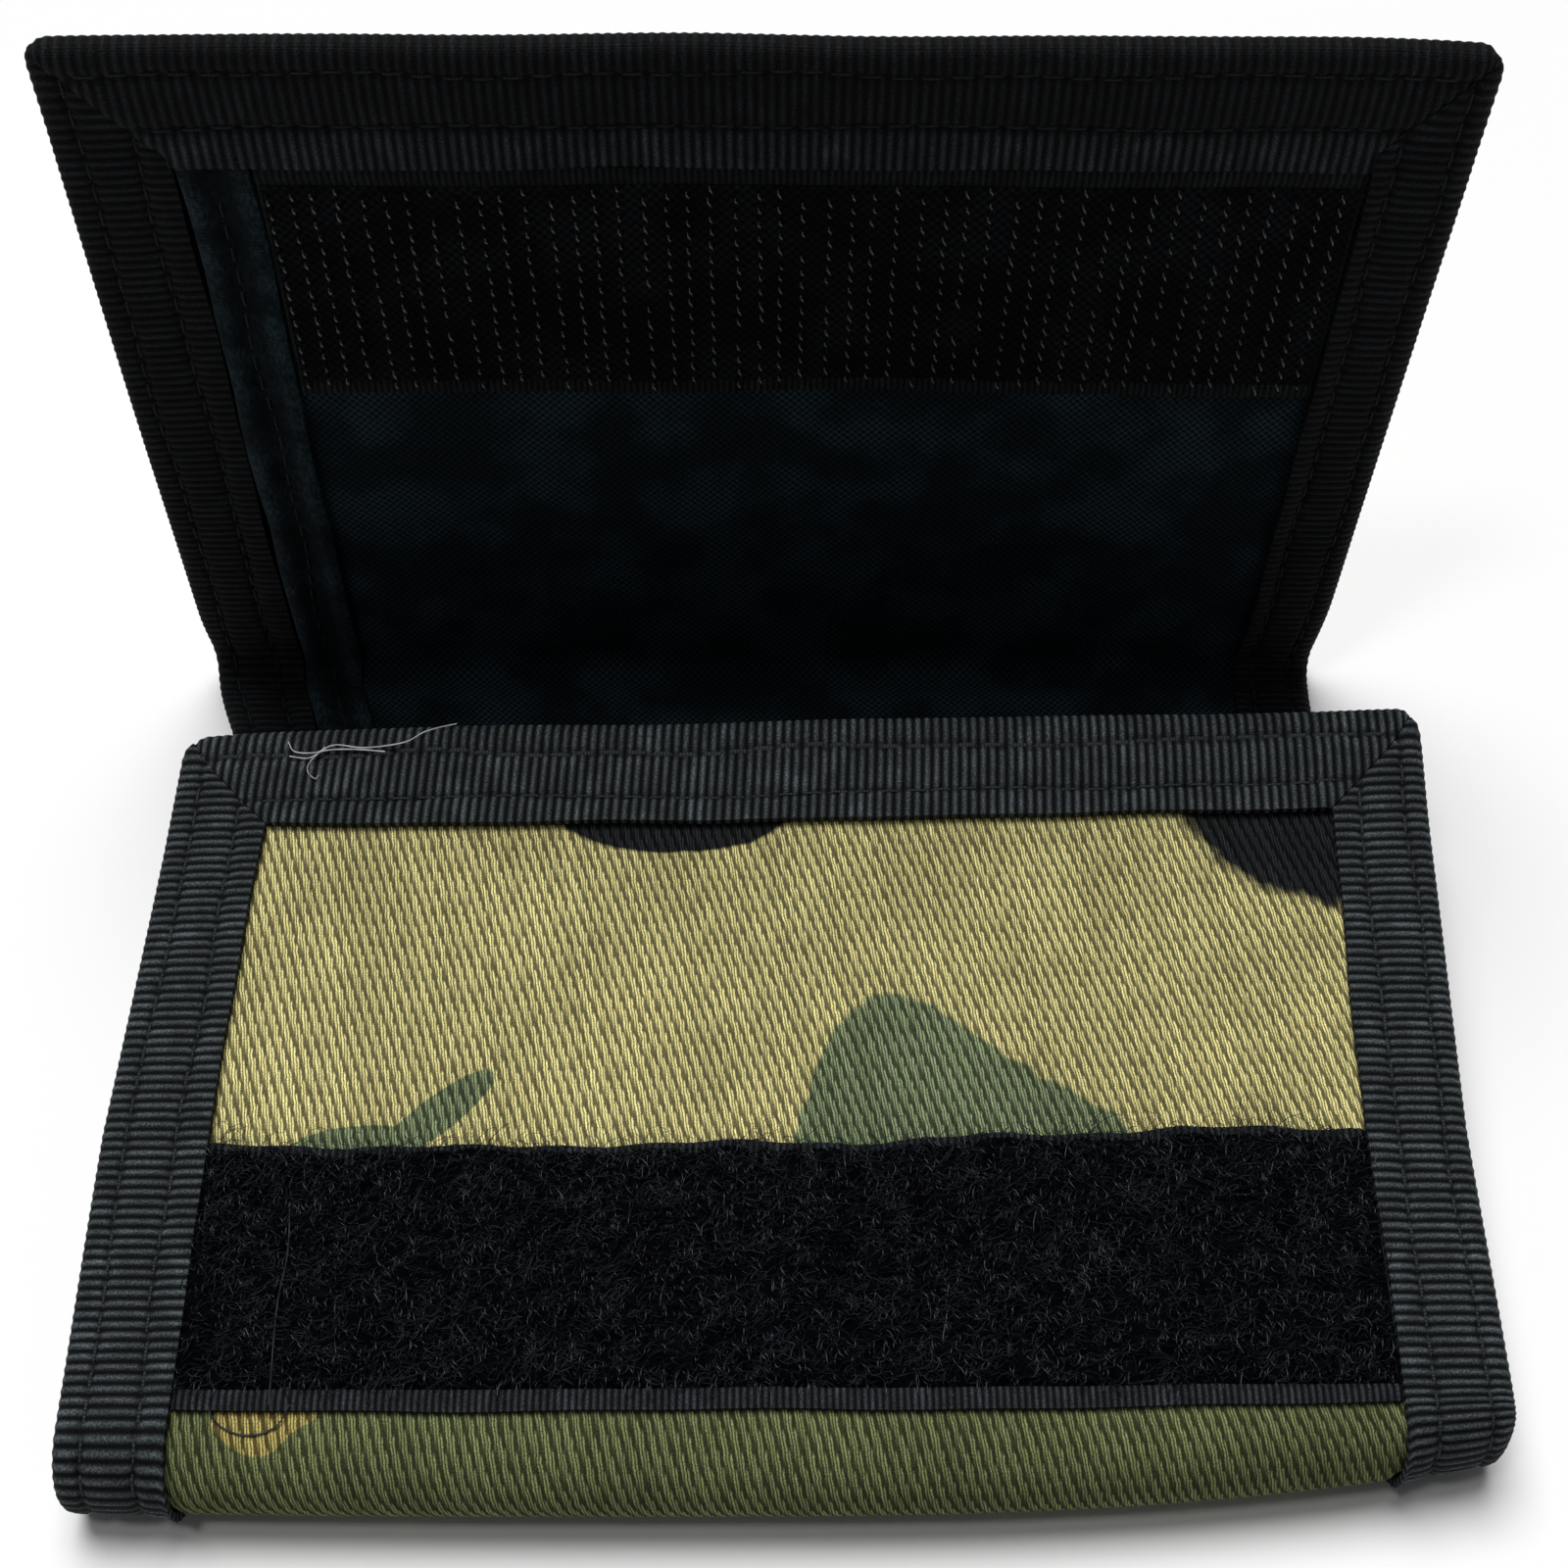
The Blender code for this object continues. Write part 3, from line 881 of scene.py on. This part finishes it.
def add_binding(name, part, grids, material, nodes):
    """A folded tape that stands for the CAD nodes of its part."""
    piece = add_slab(name, *grids, material, "grosgrain", merge=True)
    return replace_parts(bend(piece, part, BINDING_DEPTH), *nodes)


def add_side_binding(side, part):
    """The folded tape along one part of a side edge; side is -1 for left and 1 for right."""
    label = "right" if side > 0 else "left"
    thick = FULL_EDGE if side > 0 else SHELL_EDGE
    far_reach = FLAP_RIGHT_BINDING if side > 0 and part in ("flap", "far") else BINDING
    profile = fold_profile(BINDING, far_reach, thick, TAPE)
    q = profile[0]
    first = q + MITRE_GAP if part == "front" else -NO_LIMIT
    last = LENGTH - q - MITRE_GAP if part == "flap" else NO_LIMIT
    t = stations(*PARTS[part], RIB_STEP)
    outer, inner, cloth = tape_grids(profile, t, SIDE_SEED + side, (first, last))
    for grid in (outer, inner):
        grid[..., 0] = side * (HALF - grid[..., 0])
    # Painted shade: the flap's side bindings take the darker copy of the tape
    material = "flap_binding" if part == "flap" else "binding"
    nodes = nodes_of(part, f"binding_{label}")
    return add_binding(f"binding_{label}_{part}", part, (outer, inner, cloth), material, nodes)


def add_end_binding(part):
    """The folded tape across a free end, mitred into the side bindings."""
    far_reach, right_reach = END_REACHES[part]
    profile = fold_profile(BINDING, far_reach, FULL_EDGE, TAPE)
    q, w = profile[:2]
    inside = w > FULL_EDGE / 2
    left = np.where(inside, np.minimum(q, BINDING), q)
    right = np.where(inside, np.minimum(q, right_reach), q)
    limits = (left + MITRE_GAP - HALF, HALF - right - MITRE_GAP)
    x = stations(-HALF, HALF, RIB_STEP)
    outer, inner, cloth = tape_grids(profile, x, END_SEEDS[part], limits)
    for grid in (outer, inner):
        q, across = grid[..., 0].copy(), grid[..., 1].copy()
        grid[..., 0] = across
        grid[..., 1] = q if part == "front" else LENGTH - q
    # Painted shade: the flap's end binding takes the darker copy of the tape
    material = "flap_end_binding" if part == "flap" else "binding"
    nodes = [f"{part}_end_binding"]
    return add_binding(f"end_binding_{part}", part, (outer, inner, cloth), material, nodes)


def add_inner_binding(part):
    """The narrow soft tape along the lining's free edge, sewn down its middle."""
    low, high = part_within(part, BINDING + 0.25)
    top, bottom = INNER_BINDING_W
    profile = fold_profile(INNER_BINDING, INNER_BINDING, bottom - top, INNER_TAPE)
    q = profile[0]
    t = stations(low, high, 0.35)[:, None]
    row = INNER_BINDING / 2 + 0.25 * noise_line(t, 4.0)
    nip = hump(q - row, 0.8) * (0.8 + 0.2 * np.cos(2 * math.pi * t / STITCH_PITCH))
    rolled = 0.34 * hump(q - 1.2, 0.9) + 0.34 * hump(q - INNER_BINDING + 0.8, 0.8)
    uneven = 0.05 * noise_line(1.7 * t, q)
    out = INNER_TAPE / 2 + rolled + uneven - 0.3 * nip
    q = q + 0.2 * noise_line(t, 6.0)
    faces = tape_faces(profile, q, t, out, INNER_TAPE)
    outer, inner = (face + (INNER_EDGE - HALF, 0.0, top) for face in faces)
    cloth = grid_of(q, t, 2.0)
    name = f"inner_binding_{part}"
    piece = add_slab(name, outer, inner, cloth, "inner_tape", "inner_tape")
    bend(piece, part, sum(INNER_BINDING_W) / 2)
    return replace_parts(piece, *nodes_of(part, "inner_binding"))


# Stitches


STITCH_LENGTH = 2.05
STITCH_SINK = 0.3  # how deep its ends go
STITCH_PROUD = 0.02
STITCH_INSET = 0.10  # from a binding's face
ROW_START = 3.4  # how near to a free end a side binding's stitches come


def stitch_paths(along, across, depth, outwards, axis=1):
    """Paths of (x, s, w) for a row of stitches centred at along, diving into the cloth at both ends.

    axis is 1 for a row that runs along the strip and 0 for one across it."""
    share = np.linspace(-1.0, 1.0, 9)
    t = along[:, None] + share * STITCH_LENGTH / 2
    height = STITCH_PROUD - STITCH_SINK * np.abs(share) ** 5
    w = depth - outwards * height
    return grid_of(across[:, None], t, w) if axis == 1 else grid_of(t, across[:, None], w)


def both_faces(along, across, thick, axis=1):
    """The same row of stitches on a binding's outer face and on its inner one."""
    faces = ((STITCH_INSET, 1), (thick - STITCH_INSET, -1))
    return [stitch_paths(along, across, depth, outwards, axis) for depth, outwards in faces]


def side_rows(side, part):
    """Stitches of both rows on both faces of a side binding, within one part of the strip."""
    low, high = part_within(part, ROW_START)
    thick = FULL_EDGE if side > 0 else SHELL_EDGE
    paths = []
    for row in STITCH_ROWS:
        centres = np.arange(math.ceil(low / STITCH_PITCH), math.floor(high / STITCH_PITCH) + 1)
        centres = centres * STITCH_PITCH + STITCH_PITCH / 2
        near_end = np.minimum(centres, LENGTH - centres) > row + 1.0
        centres = centres[(centres >= low) & (centres < high) & near_end]
        across = side * (HALF - row_at(row, centres, SIDE_SEED + side))
        paths += both_faces(centres, across, thick)
    return np.concatenate(paths)


def end_rows(part):
    """The same for an end binding."""
    paths = []
    for row in STITCH_ROWS:
        centres = np.arange(-60, 60) * STITCH_PITCH + STITCH_PITCH / 2
        centres = centres[np.abs(centres) < HALF - row - 1.3]
        q = row_at(row, centres, END_SEEDS[part])
        paths += both_faces(centres, q if part == "front" else LENGTH - q, FULL_EDGE, axis=0)
    return np.concatenate(paths)


def inner_rows(part):
    """The single row on each face of the lining's inner binding."""
    low, high = part_within(part, BINDING + 1.5)
    centres = np.arange(math.ceil(low / STITCH_PITCH), math.floor(high / STITCH_PITCH)) * STITCH_PITCH
    across = INNER_EDGE - HALF + INNER_BINDING / 2 + 0.45 * noise_line(centres, 4.0)
    top, bottom = INNER_BINDING_W
    faces = ((top + 0.12, 1), (bottom - 0.22, -1))
    return np.concatenate([stitch_paths(centres, across, w, outwards) for w, outwards in faces])


def add_stitching(part):
    rows = [side_rows(-1, part), side_rows(1, part), inner_rows(part)]
    if part in ("front", "flap"):
        rows.append(end_rows(part))
    paths = np.concatenate(rows)
    # Painted shade: the flap's stitches take the darker copy of the thread
    material = "flap_thread" if part == "flap" else "thread"
    piece = add_tubes(f"stitching_{part}", paths, THREAD_RADIUS, material)
    return bend(piece, part, BINDING_DEPTH)


# Hook and loop strips

SELVAGE = 1.7
RIB_PITCH_SELVAGE = 0.62
STRIP_TUCK = 1.3  # how far the loop strip runs on under the side bindings
STRIP_SEAM = HALF - BINDING - 0.05  # where it goes under them
CLOSURE = 25.4
LOOP_START = 43.2
LOOP_END = LOOP_START + CLOSURE
LOOP_BASE = SHELL[0] - 0.05
LOOPS = 14000
HOOK_COLUMN = 2.13
HOOK_ROW = 1.56
HOOK_BEND = 0.40


def box_in_cloth(node):
    """(low x, high x) of a strip's node, in millimetres."""
    low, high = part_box(node)
    return low.x / MM, high.x / MM


def add_strip_tape(name, xs, along, base, thick, outwards, seam=None, sewn=None):
    """The woven ground of a strip, ribbed along both selvages and thinner beyond a seam.

    sewn(x, s) gives where its threads lie once it is sewn on."""
    x = stations(*xs, RIB_PITCH_SELVAGE / 4)
    low, high = along
    edge = np.linspace(0.0, SELVAGE, 6)
    middle = np.linspace(low + SELVAGE, high - SELVAGE, 40)[1:-1]
    s = np.concatenate([low + edge, middle, high - edge[::-1]])
    x, s = crossed(x, s)
    from_edge = np.minimum(s - low, high - s)
    selvage = smooth((SELVAGE - from_edge) / 0.3)
    rib = np.sin(math.pi * x / RIB_PITCH_SELVAGE) ** 2
    roll = np.sin(np.clip(from_edge / SELVAGE, 0, 1) * math.pi) * 0.12
    height = thick + selvage * (0.14 * rib + roll)
    if seam is not None:
        height = height + (0.25 - height) * smooth((np.abs(x) - seam + 0.3) / 0.3)
    cloth = grid_of(s, x * RIB_PITCH / RIB_PITCH_SELVAGE, 0.0)
    if sewn is not None:
        s = sewn(x, s)
    s = s + 0.12 * noise_line(x, low)
    outer = grid_of(x, s, base - outwards * height)
    inner = grid_of(x, s, base)
    material = "selvage" if outwards > 0 else "hook_selvage"
    return add_slab(name, outer, inner, cloth, material, "hook_tape")


def sewn(x, s):
    """The loop strip's upper edge hangs lower over most of its length, and is not quite straight."""
    droop = 1.2 * smooth((38.0 - x) / 45.0) + 0.22 * np.sin(x / 3.7) + 0.12 * np.sin(x / 1.3 + 2.0)
    return s + droop * (LOOP_END - s) / CLOSURE


def add_pile(random):
    """The matted base of the loop strip's pile."""
    x = np.linspace(-STRIP_SEAM, STRIP_SEAM, 380)
    s = np.linspace(LOOP_START + 0.25, LOOP_END - SELVAGE + 0.1, 96)
    x, s = crossed(x, s)
    rough = random.standard_normal(x.shape)
    for _ in range(2):
        rough = (rough + np.roll(rough, 1, 0) + np.roll(rough, 1, 1) + np.roll(rough, -1, 0)) / 4
    rough = rough / rough.std()
    edge = np.minimum(s - s.min(), s.max() - s)
    full = smooth(edge / 0.9) * smooth((STRIP_SEAM - np.abs(x)) / 0.5 + 0.3)
    tufts = 0.10 * np.sin(x * 1.9 + 2 * np.sin(s * 0.7)) * np.sin(s * 2.1 + 2 * np.sin(x * 0.45))
    height = 0.5 + full * (0.4 + 0.13 * rough + tufts + 0.1 * noise_line(x, s / 4))
    s = sewn(x, s)
    outer, inner = grid_of(x, s, LOOP_BASE - height), grid_of(x, s, LOOP_BASE - 0.3)
    cloth = grid_of(x, s, 0.0)
    # Painted shade: the base is painted darker than the loops
    pile = add_slab("loop_strip_pile", outer, inner, cloth, "pile", "loop_pile")
    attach(pile, "front")


def add_loops(random):
    """Curled nylon loops that stand in the pile, some straying over its upper edge."""

    def draw(low=0.0, high=1.0):
        return random.uniform(low, high, (LOOPS, 1))

    x = draw(0.3 - STRIP_SEAM, STRIP_SEAM - 0.3)
    s = draw(LOOP_START + 0.1, LOOP_END - SELVAGE - 0.1)
    stray = (s < LOOP_START + 1.4) & (draw() > 0.8)
    s = sewn(x, s)
    turn = draw(0.0, 2 * math.pi)
    reach = draw(0.4, 1.35) + 0.9 * (draw() > 0.97) + 1.3 * stray
    tall = draw(0.2, 0.6) + 0.35 * draw() ** 5
    curl = draw(0.6, 1.5)
    twist = draw(-1.8, 1.8)
    t = np.linspace(0.0, 1.0, 7)
    swing = turn + twist * t
    out = reach * (1 - np.cos(t * math.pi * curl)) * 0.7
    rise = tall * np.sin(t * math.pi * np.minimum(curl, 0.95))
    x, s, w = x + out * np.cos(swing), s + out * np.sin(swing), LOOP_BASE - 0.8 - rise
    over_binding = np.abs(x) > STRIP_SEAM - 0.1
    x = np.clip(x, -STRIP_SEAM - 0.5, STRIP_SEAM + 0.5)
    w = np.where(over_binding, np.minimum(w, -0.35), w)
    radius = 0.046 * (1 - 0.5 * t)
    paths = grid_of(x, s, w)
    loops = add_tubes("loop_strip_loops", paths, radius, "loops", sides=3)
    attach(loops, "front")


def loop_strip():
    """Loop strip: woven ground, matted pile, and thousands of curled loops standing in it."""
    random = np.random.default_rng(11)
    low, high = box_in_cloth("loop_strip")
    xs, along = (low - STRIP_TUCK, high + STRIP_TUCK), (LOOP_START, LOOP_END)
    ground = add_strip_tape("loop_strip_ground", xs, along, LOOP_BASE, 0.5, 1, STRIP_SEAM, sewn)
    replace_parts(ground, "loop_strip")
    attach(ground, "front")
    add_pile(random)
    add_loops(random)


def hook_strip():
    """Hook strip: woven ground and rows of bent nylon hooks, two columns one way and two the other."""
    random = np.random.default_rng(5)
    xs = box_in_cloth("hook_strip")
    low = LENGTH - (HIGH[2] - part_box("hook_strip")[0].z / MM)
    high = LENGTH - FLAP_END_BINDING - 0.15
    base = LINING[1] + 0.12
    ground = add_strip_tape("hook_strip_ground", xs, (low, high), base, 0.45, -1)
    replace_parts(ground, "hook_strip")
    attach(ground, "flap")
    x, s = crossed(np.linspace(xs[0] + 0.3, xs[1] - 0.3, 90), np.linspace(low + 1.4, high - 2.0, 24))
    outer = grid_of(x, s, base + 0.3)
    inner = grid_of(x, s, base + 0.5 + 0.06 * np.sin(math.pi * x / HOOK_COLUMN) ** 2)
    cloth = grid_of(x, s, 0.0)
    bed = add_slab("hook_strip_bed", outer, inner, cloth, "hook_base", "hook_tape")
    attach(bed, "flap")

    columns = np.arange(xs[0] + 0.9, xs[1] - 0.7, HOOK_COLUMN)
    rows = np.arange(low + 1.9, high - 2.2, HOOK_ROW)
    number = np.arange(len(columns))[:, None]
    lean = np.where(number % 4 < 2, 1.0, -1.0) + 0 * rows
    s = rows + np.where(number % 2 == 0, 0.0, HOOK_ROW / 3)
    x = columns[:, None] + 0 * rows
    x, s, lean = x.ravel(), s.ravel(), lean.ravel()
    x = x + random.normal(0, 0.05, x.size)
    s = s + random.normal(0, 0.06, x.size)
    kept = random.uniform(0, 1, x.size) > 0.03
    x, s, lean = (values[kept][:, None] for values in (x, s, lean))
    size = random.normal(1.0, 0.08, x.shape)
    side = lean * (1 + random.normal(0, 0.2, x.shape))
    turn = np.linspace(0.0, math.radians(215), 9)
    bent = HOOK_BEND * size * (1 - np.cos(turn))
    stem = np.zeros(x.shape)
    tall = np.concatenate([stem, 0.75 * size + HOOK_BEND * size * np.sin(turn)], axis=1)
    across = side * np.concatenate([stem, bent], axis=1)
    paths = grid_of(x + 0.35 * across, s - 0.95 * across, base + 0.4 + tall)
    hooks = add_tubes("hook_strip_hooks", paths, 0.12, "hooks")
    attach(hooks, "flap")


# Pockets


HEM = 5.0
HEM_ROWS = (0.9, 4.3)
POCKET_GAP = 0.1  # from the lining
POCKET_STEP = 0.38  # from one pocket to the next
FRONT_POCKET = (12.0, 65.9)
WINDOW_SET_BACK = 3.0
WINDOW_GAP = 0.62  # over the pocket
VINYL = 0.12
TRIM_WIDTH = 6.0


def pocket_x():
    return box_in_cloth("card_pocket_back")


def add_pocket(name, node, body, along, mouth, depth):
    """A pocket's sheet: flat cloth with a doubled hem, stitched twice, at its mouth."""
    low, high = along
    xs = pocket_x()
    x = np.linspace(*xs, 100)
    hem_lines = (-HEM, 0.2 - HEM, -0.2, 0.2, HEM - 0.2, HEM)
    s = np.concatenate([np.linspace(low, high, 90), mouth + np.array(hem_lines)])
    s = np.unique(s[(s >= low) & (s <= high)])
    x, s = crossed(x, s)
    from_mouth = np.abs(s - mouth)
    hem = smooth((HEM - from_mouth) / 0.25) * (0.75 + 0.25 * smooth(from_mouth / 0.3))
    nip = sum(hump(from_mouth - row, 0.3) for row in HEM_ROWS)
    slack = 0.08 * np.sin(x / 9.0 + mouth)
    top = depth + 0.2 + 0.3 * hem - 0.08 * nip
    outer, inner = grid_of(x, s, depth + slack), grid_of(x, s, top + slack)
    cloth = grid_of(x, s, depth)
    piece = add_slab(name, outer, inner, cloth, "pocket", "lining_cloth")
    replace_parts(piece, node)
    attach(piece, body)
    into = 1.0 if mouth < (low + high) / 2 else -1.0
    centres = np.arange(xs[0] + 2.0, xs[1] - 1.5, STITCH_PITCH)  # clear of the pocket's sides
    rows = [np.full_like(centres, mouth + into * row) for row in HEM_ROWS]
    paths = np.concatenate([stitch_paths(centres, row, depth + 0.42, -1, axis=0) for row in rows])
    threads = add_tubes(f"{name}_stitches", paths, 0.12, "thread")
    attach(threads, body)


def middle_s(node):
    """(low, high) along the strip of a node that lies on the middle panel."""
    low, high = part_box(node)
    return tuple(MIDDLE_START + y / MM - LOW[1] - FOLD_RADIUS for y in (low.y, high.y))


def add_pockets():
    depth = LINING[1] + POCKET_GAP
    for i, label in enumerate(("back", "middle", "front")):
        node = f"card_pocket_{label}"
        along = middle_s(node)
        add_pocket(f"pocket_sheet_{label}", node, "middle", along, along[1], depth + i * POCKET_STEP)
    bottom, mouth = FRONT_POCKET
    add_pocket("pocket_sheet_inside_front", "front_card_pocket", "front", FRONT_POCKET, mouth, depth)
    add_window(bottom, mouth - WINDOW_SET_BACK, depth + WINDOW_GAP)


def add_window(low, high, depth):
    """A clear pocket over the front panel's card pocket, with a tape sewn along its mouth."""
    xs = pocket_x()
    x, s = crossed(np.linspace(*xs, 60), np.linspace(low, high, 40))
    slack = 0.07 * np.sin(x / 11.0) * np.sin(s / 9.0)
    outer, inner = grid_of(x, s, depth + slack), grid_of(x, s, depth + VINYL + slack)
    cloth = grid_of(x, s, 1.0)
    window = add_slab("window_sheet", outer, inner, cloth, "vinyl", "clear_vinyl")
    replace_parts(window, "id_window")
    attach(window, "front")
    trim_low = high - TRIM_WIDTH
    x, s = crossed(stations(*xs, 0.5), np.linspace(trim_low, high, 18))
    crown = np.sin((s - trim_low) / TRIM_WIDTH * math.pi) ** 0.5 * 0.12
    outer, inner = grid_of(x, s, depth + 0.16), grid_of(x, s, depth + 0.36 + crown)
    cloth = grid_of(s, x, 4.0)
    trim = add_slab("window_trim_tape", outer, inner, cloth, "inner_tape", "inner_tape")
    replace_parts(trim, "id_window_trim")
    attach(trim, "front")


# Loose threads and lint


def curve_through(points, count=40):
    """A smooth path through a few (x, s, w) points."""
    points = np.array(points, float)
    at = np.linspace(0, len(points) - 1, count)
    i = np.clip(at.astype(int), 0, len(points) - 2)
    t = (at - i)[:, None]
    padded = np.concatenate([2 * points[:1] - points[1:2], points, 2 * points[-1:] - points[-2:-1]])
    a, b, c, d = (padded[i + k] for k in range(4))
    bend, twist = 2 * a - 5 * b + 4 * c - d, 3 * b - a - 3 * c + d
    return 0.5 * (2 * b + (c - a) * t + bend * t**2 + twist * t**3)


PALE_LINT = (
    ((-52.6, 1.6, -0.4), (-51.7, 2.4, -0.5), (-49.5, 2.5, -0.55), (-47.7, 2.0, -0.6))
    + ((-44.6, 2.2, -0.5), (-40.6, 1.9, -0.55), (-38.6, 1.1, -0.4), (-35.6, 0.3, 0.1)),
    ((-52.2, 2.7, -0.4), (-50.2, 2.9, -0.5), (-48.7, 2.4, -0.6), (-45.7, 2.3, -0.5), (-42.5, 2.5, -0.5)),
    ((-48.7, 2.1, -0.5), (-50.0, 3.3, -0.6), (-50.0, 4.3, -0.6), (-49.2, 5.0, -0.5), (-48.9, 4.6, -0.5)),
)
LOOSE_THREAD = (  # its curl below the loop strip, and its run over the pile
    ((-50.3, 67.2, -0.3), (-50.2, 68.8, 0.3), (-48.6, 69.9, 0.6))
    + ((-46.4, 70.2, 0.6), (-44.4, 69.6, 0.5), (-43.4, 68.2, 0.0)),
    ((-45.0, 68.4, -0.8), (-45.3, 60.0, -0.6), (-44.9, 55.0, -0.6), (-45.2, 50.0, -0.5)),
)


def add_loose_threads():
    for name, curves, radius, material in (
        ("lint_on_front", PALE_LINT, 0.05, "lint"),
        ("loose_thread", LOOSE_THREAD, 0.07, "thread"),
    ):
        paths = np.stack([curve_through(points) for points in curves])
        strands = add_tubes(name, paths, radius, material, sides=5)
        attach(strands, "front")


# Room


def make_camera():
    """Stands in front of the near fold and looks down over the front panel at the flap."""
    data = bpy.data.cameras.new("camera")
    data.lens = 49.7
    data.sensor_width = 36.0
    data.shift_x = -0.0083
    data.shift_y = 0.0225
    yaw, down, roll = (math.radians(angle) for angle in (1.14, 52.42, 0.85))
    turn = Matrix.Rotation(-yaw, 4, "Z") @ Matrix.Rotation(math.pi / 2 - down, 4, "X")
    turn = turn @ Matrix.Rotation(roll, 4, "Z")
    camera = add_object("camera", data)
    camera.matrix_world = Matrix.Translation((-0.0010, -0.1183, 0.1910)) @ turn
    bpy.context.scene.camera = camera


def add_light(name, kind, location, power, size):
    """A soft light that points at the wallet.  A sun's size is the angle it fills, in degrees."""
    data = bpy.data.lights.new(name, kind)
    data.energy = power
    if kind == "SUN":
        data.angle = math.radians(size)
    else:
        data.shape = "DISK"
        data.size = size
    light = add_object(name, data)
    light.location = location
    light.rotation_euler = (-Vector(location)).to_track_quat("-Z", "Y").to_euler()


def make_floor():
    mesh = bpy.data.meshes.new("floor")
    reach, drop = 1.5, -0.0002
    sides = ((-1, -1), (1, -1), (1, 1), (-1, 1))
    mesh.from_pydata([(x * reach, y * reach, drop) for x, y in sides], [], [(0, 1, 2, 3)])
    material = bpy.data.materials.new("floor_paint")
    material.use_nodes = True
    shader = material.node_tree.nodes["Principled BSDF"]
    shader.inputs["Base Color"].default_value = (0.86, 0.86, 0.86, 1.0)
    shader.inputs["Roughness"].default_value = 0.9
    mesh.materials.append(material)
    floor = add_object("floor", mesh)


def make_room():
    make_camera()
    make_floor()
    add_light("key", "SUN", (-0.10, 0.27, 0.78), 3.3, 38.0)
    add_light("glint", "AREA", (-0.25, -0.20, 0.90), 0.9, 0.15)
    world = bpy.data.worlds.new("world")
    world.use_nodes = True
    background = world.node_tree.nodes["Background"]
    background.inputs["Color"].default_value = (1.0, 1.0, 1.0, 1.0)
    background.inputs["Strength"].default_value = 0.09
    bpy.context.scene.world = world
    bpy.context.scene.view_settings.view_transform = "Standard"


# Assembly


def build():
    shell_x = (-HALF + HIDDEN, HALF - HIDDEN)
    lining_x = (INNER_EDGE - HALF + HIDDEN, HALF - HIDDEN)
    for part in PARTS:
        for side in (-1, 1):
            add_side_binding(side, part)
        add_layer("shell", part, shell_x, SHELL, "twill", "camo_twill")
        add_layer("lining", part, lining_x, LINING, "lining", "lining_cloth")
        add_inner_binding(part)
        add_stitching(part)
    for part in ("front", "flap"):
        add_end_binding(part)
    loop_strip()
    hook_strip()
    add_pockets()
    add_loose_threads()


build()
make_room()
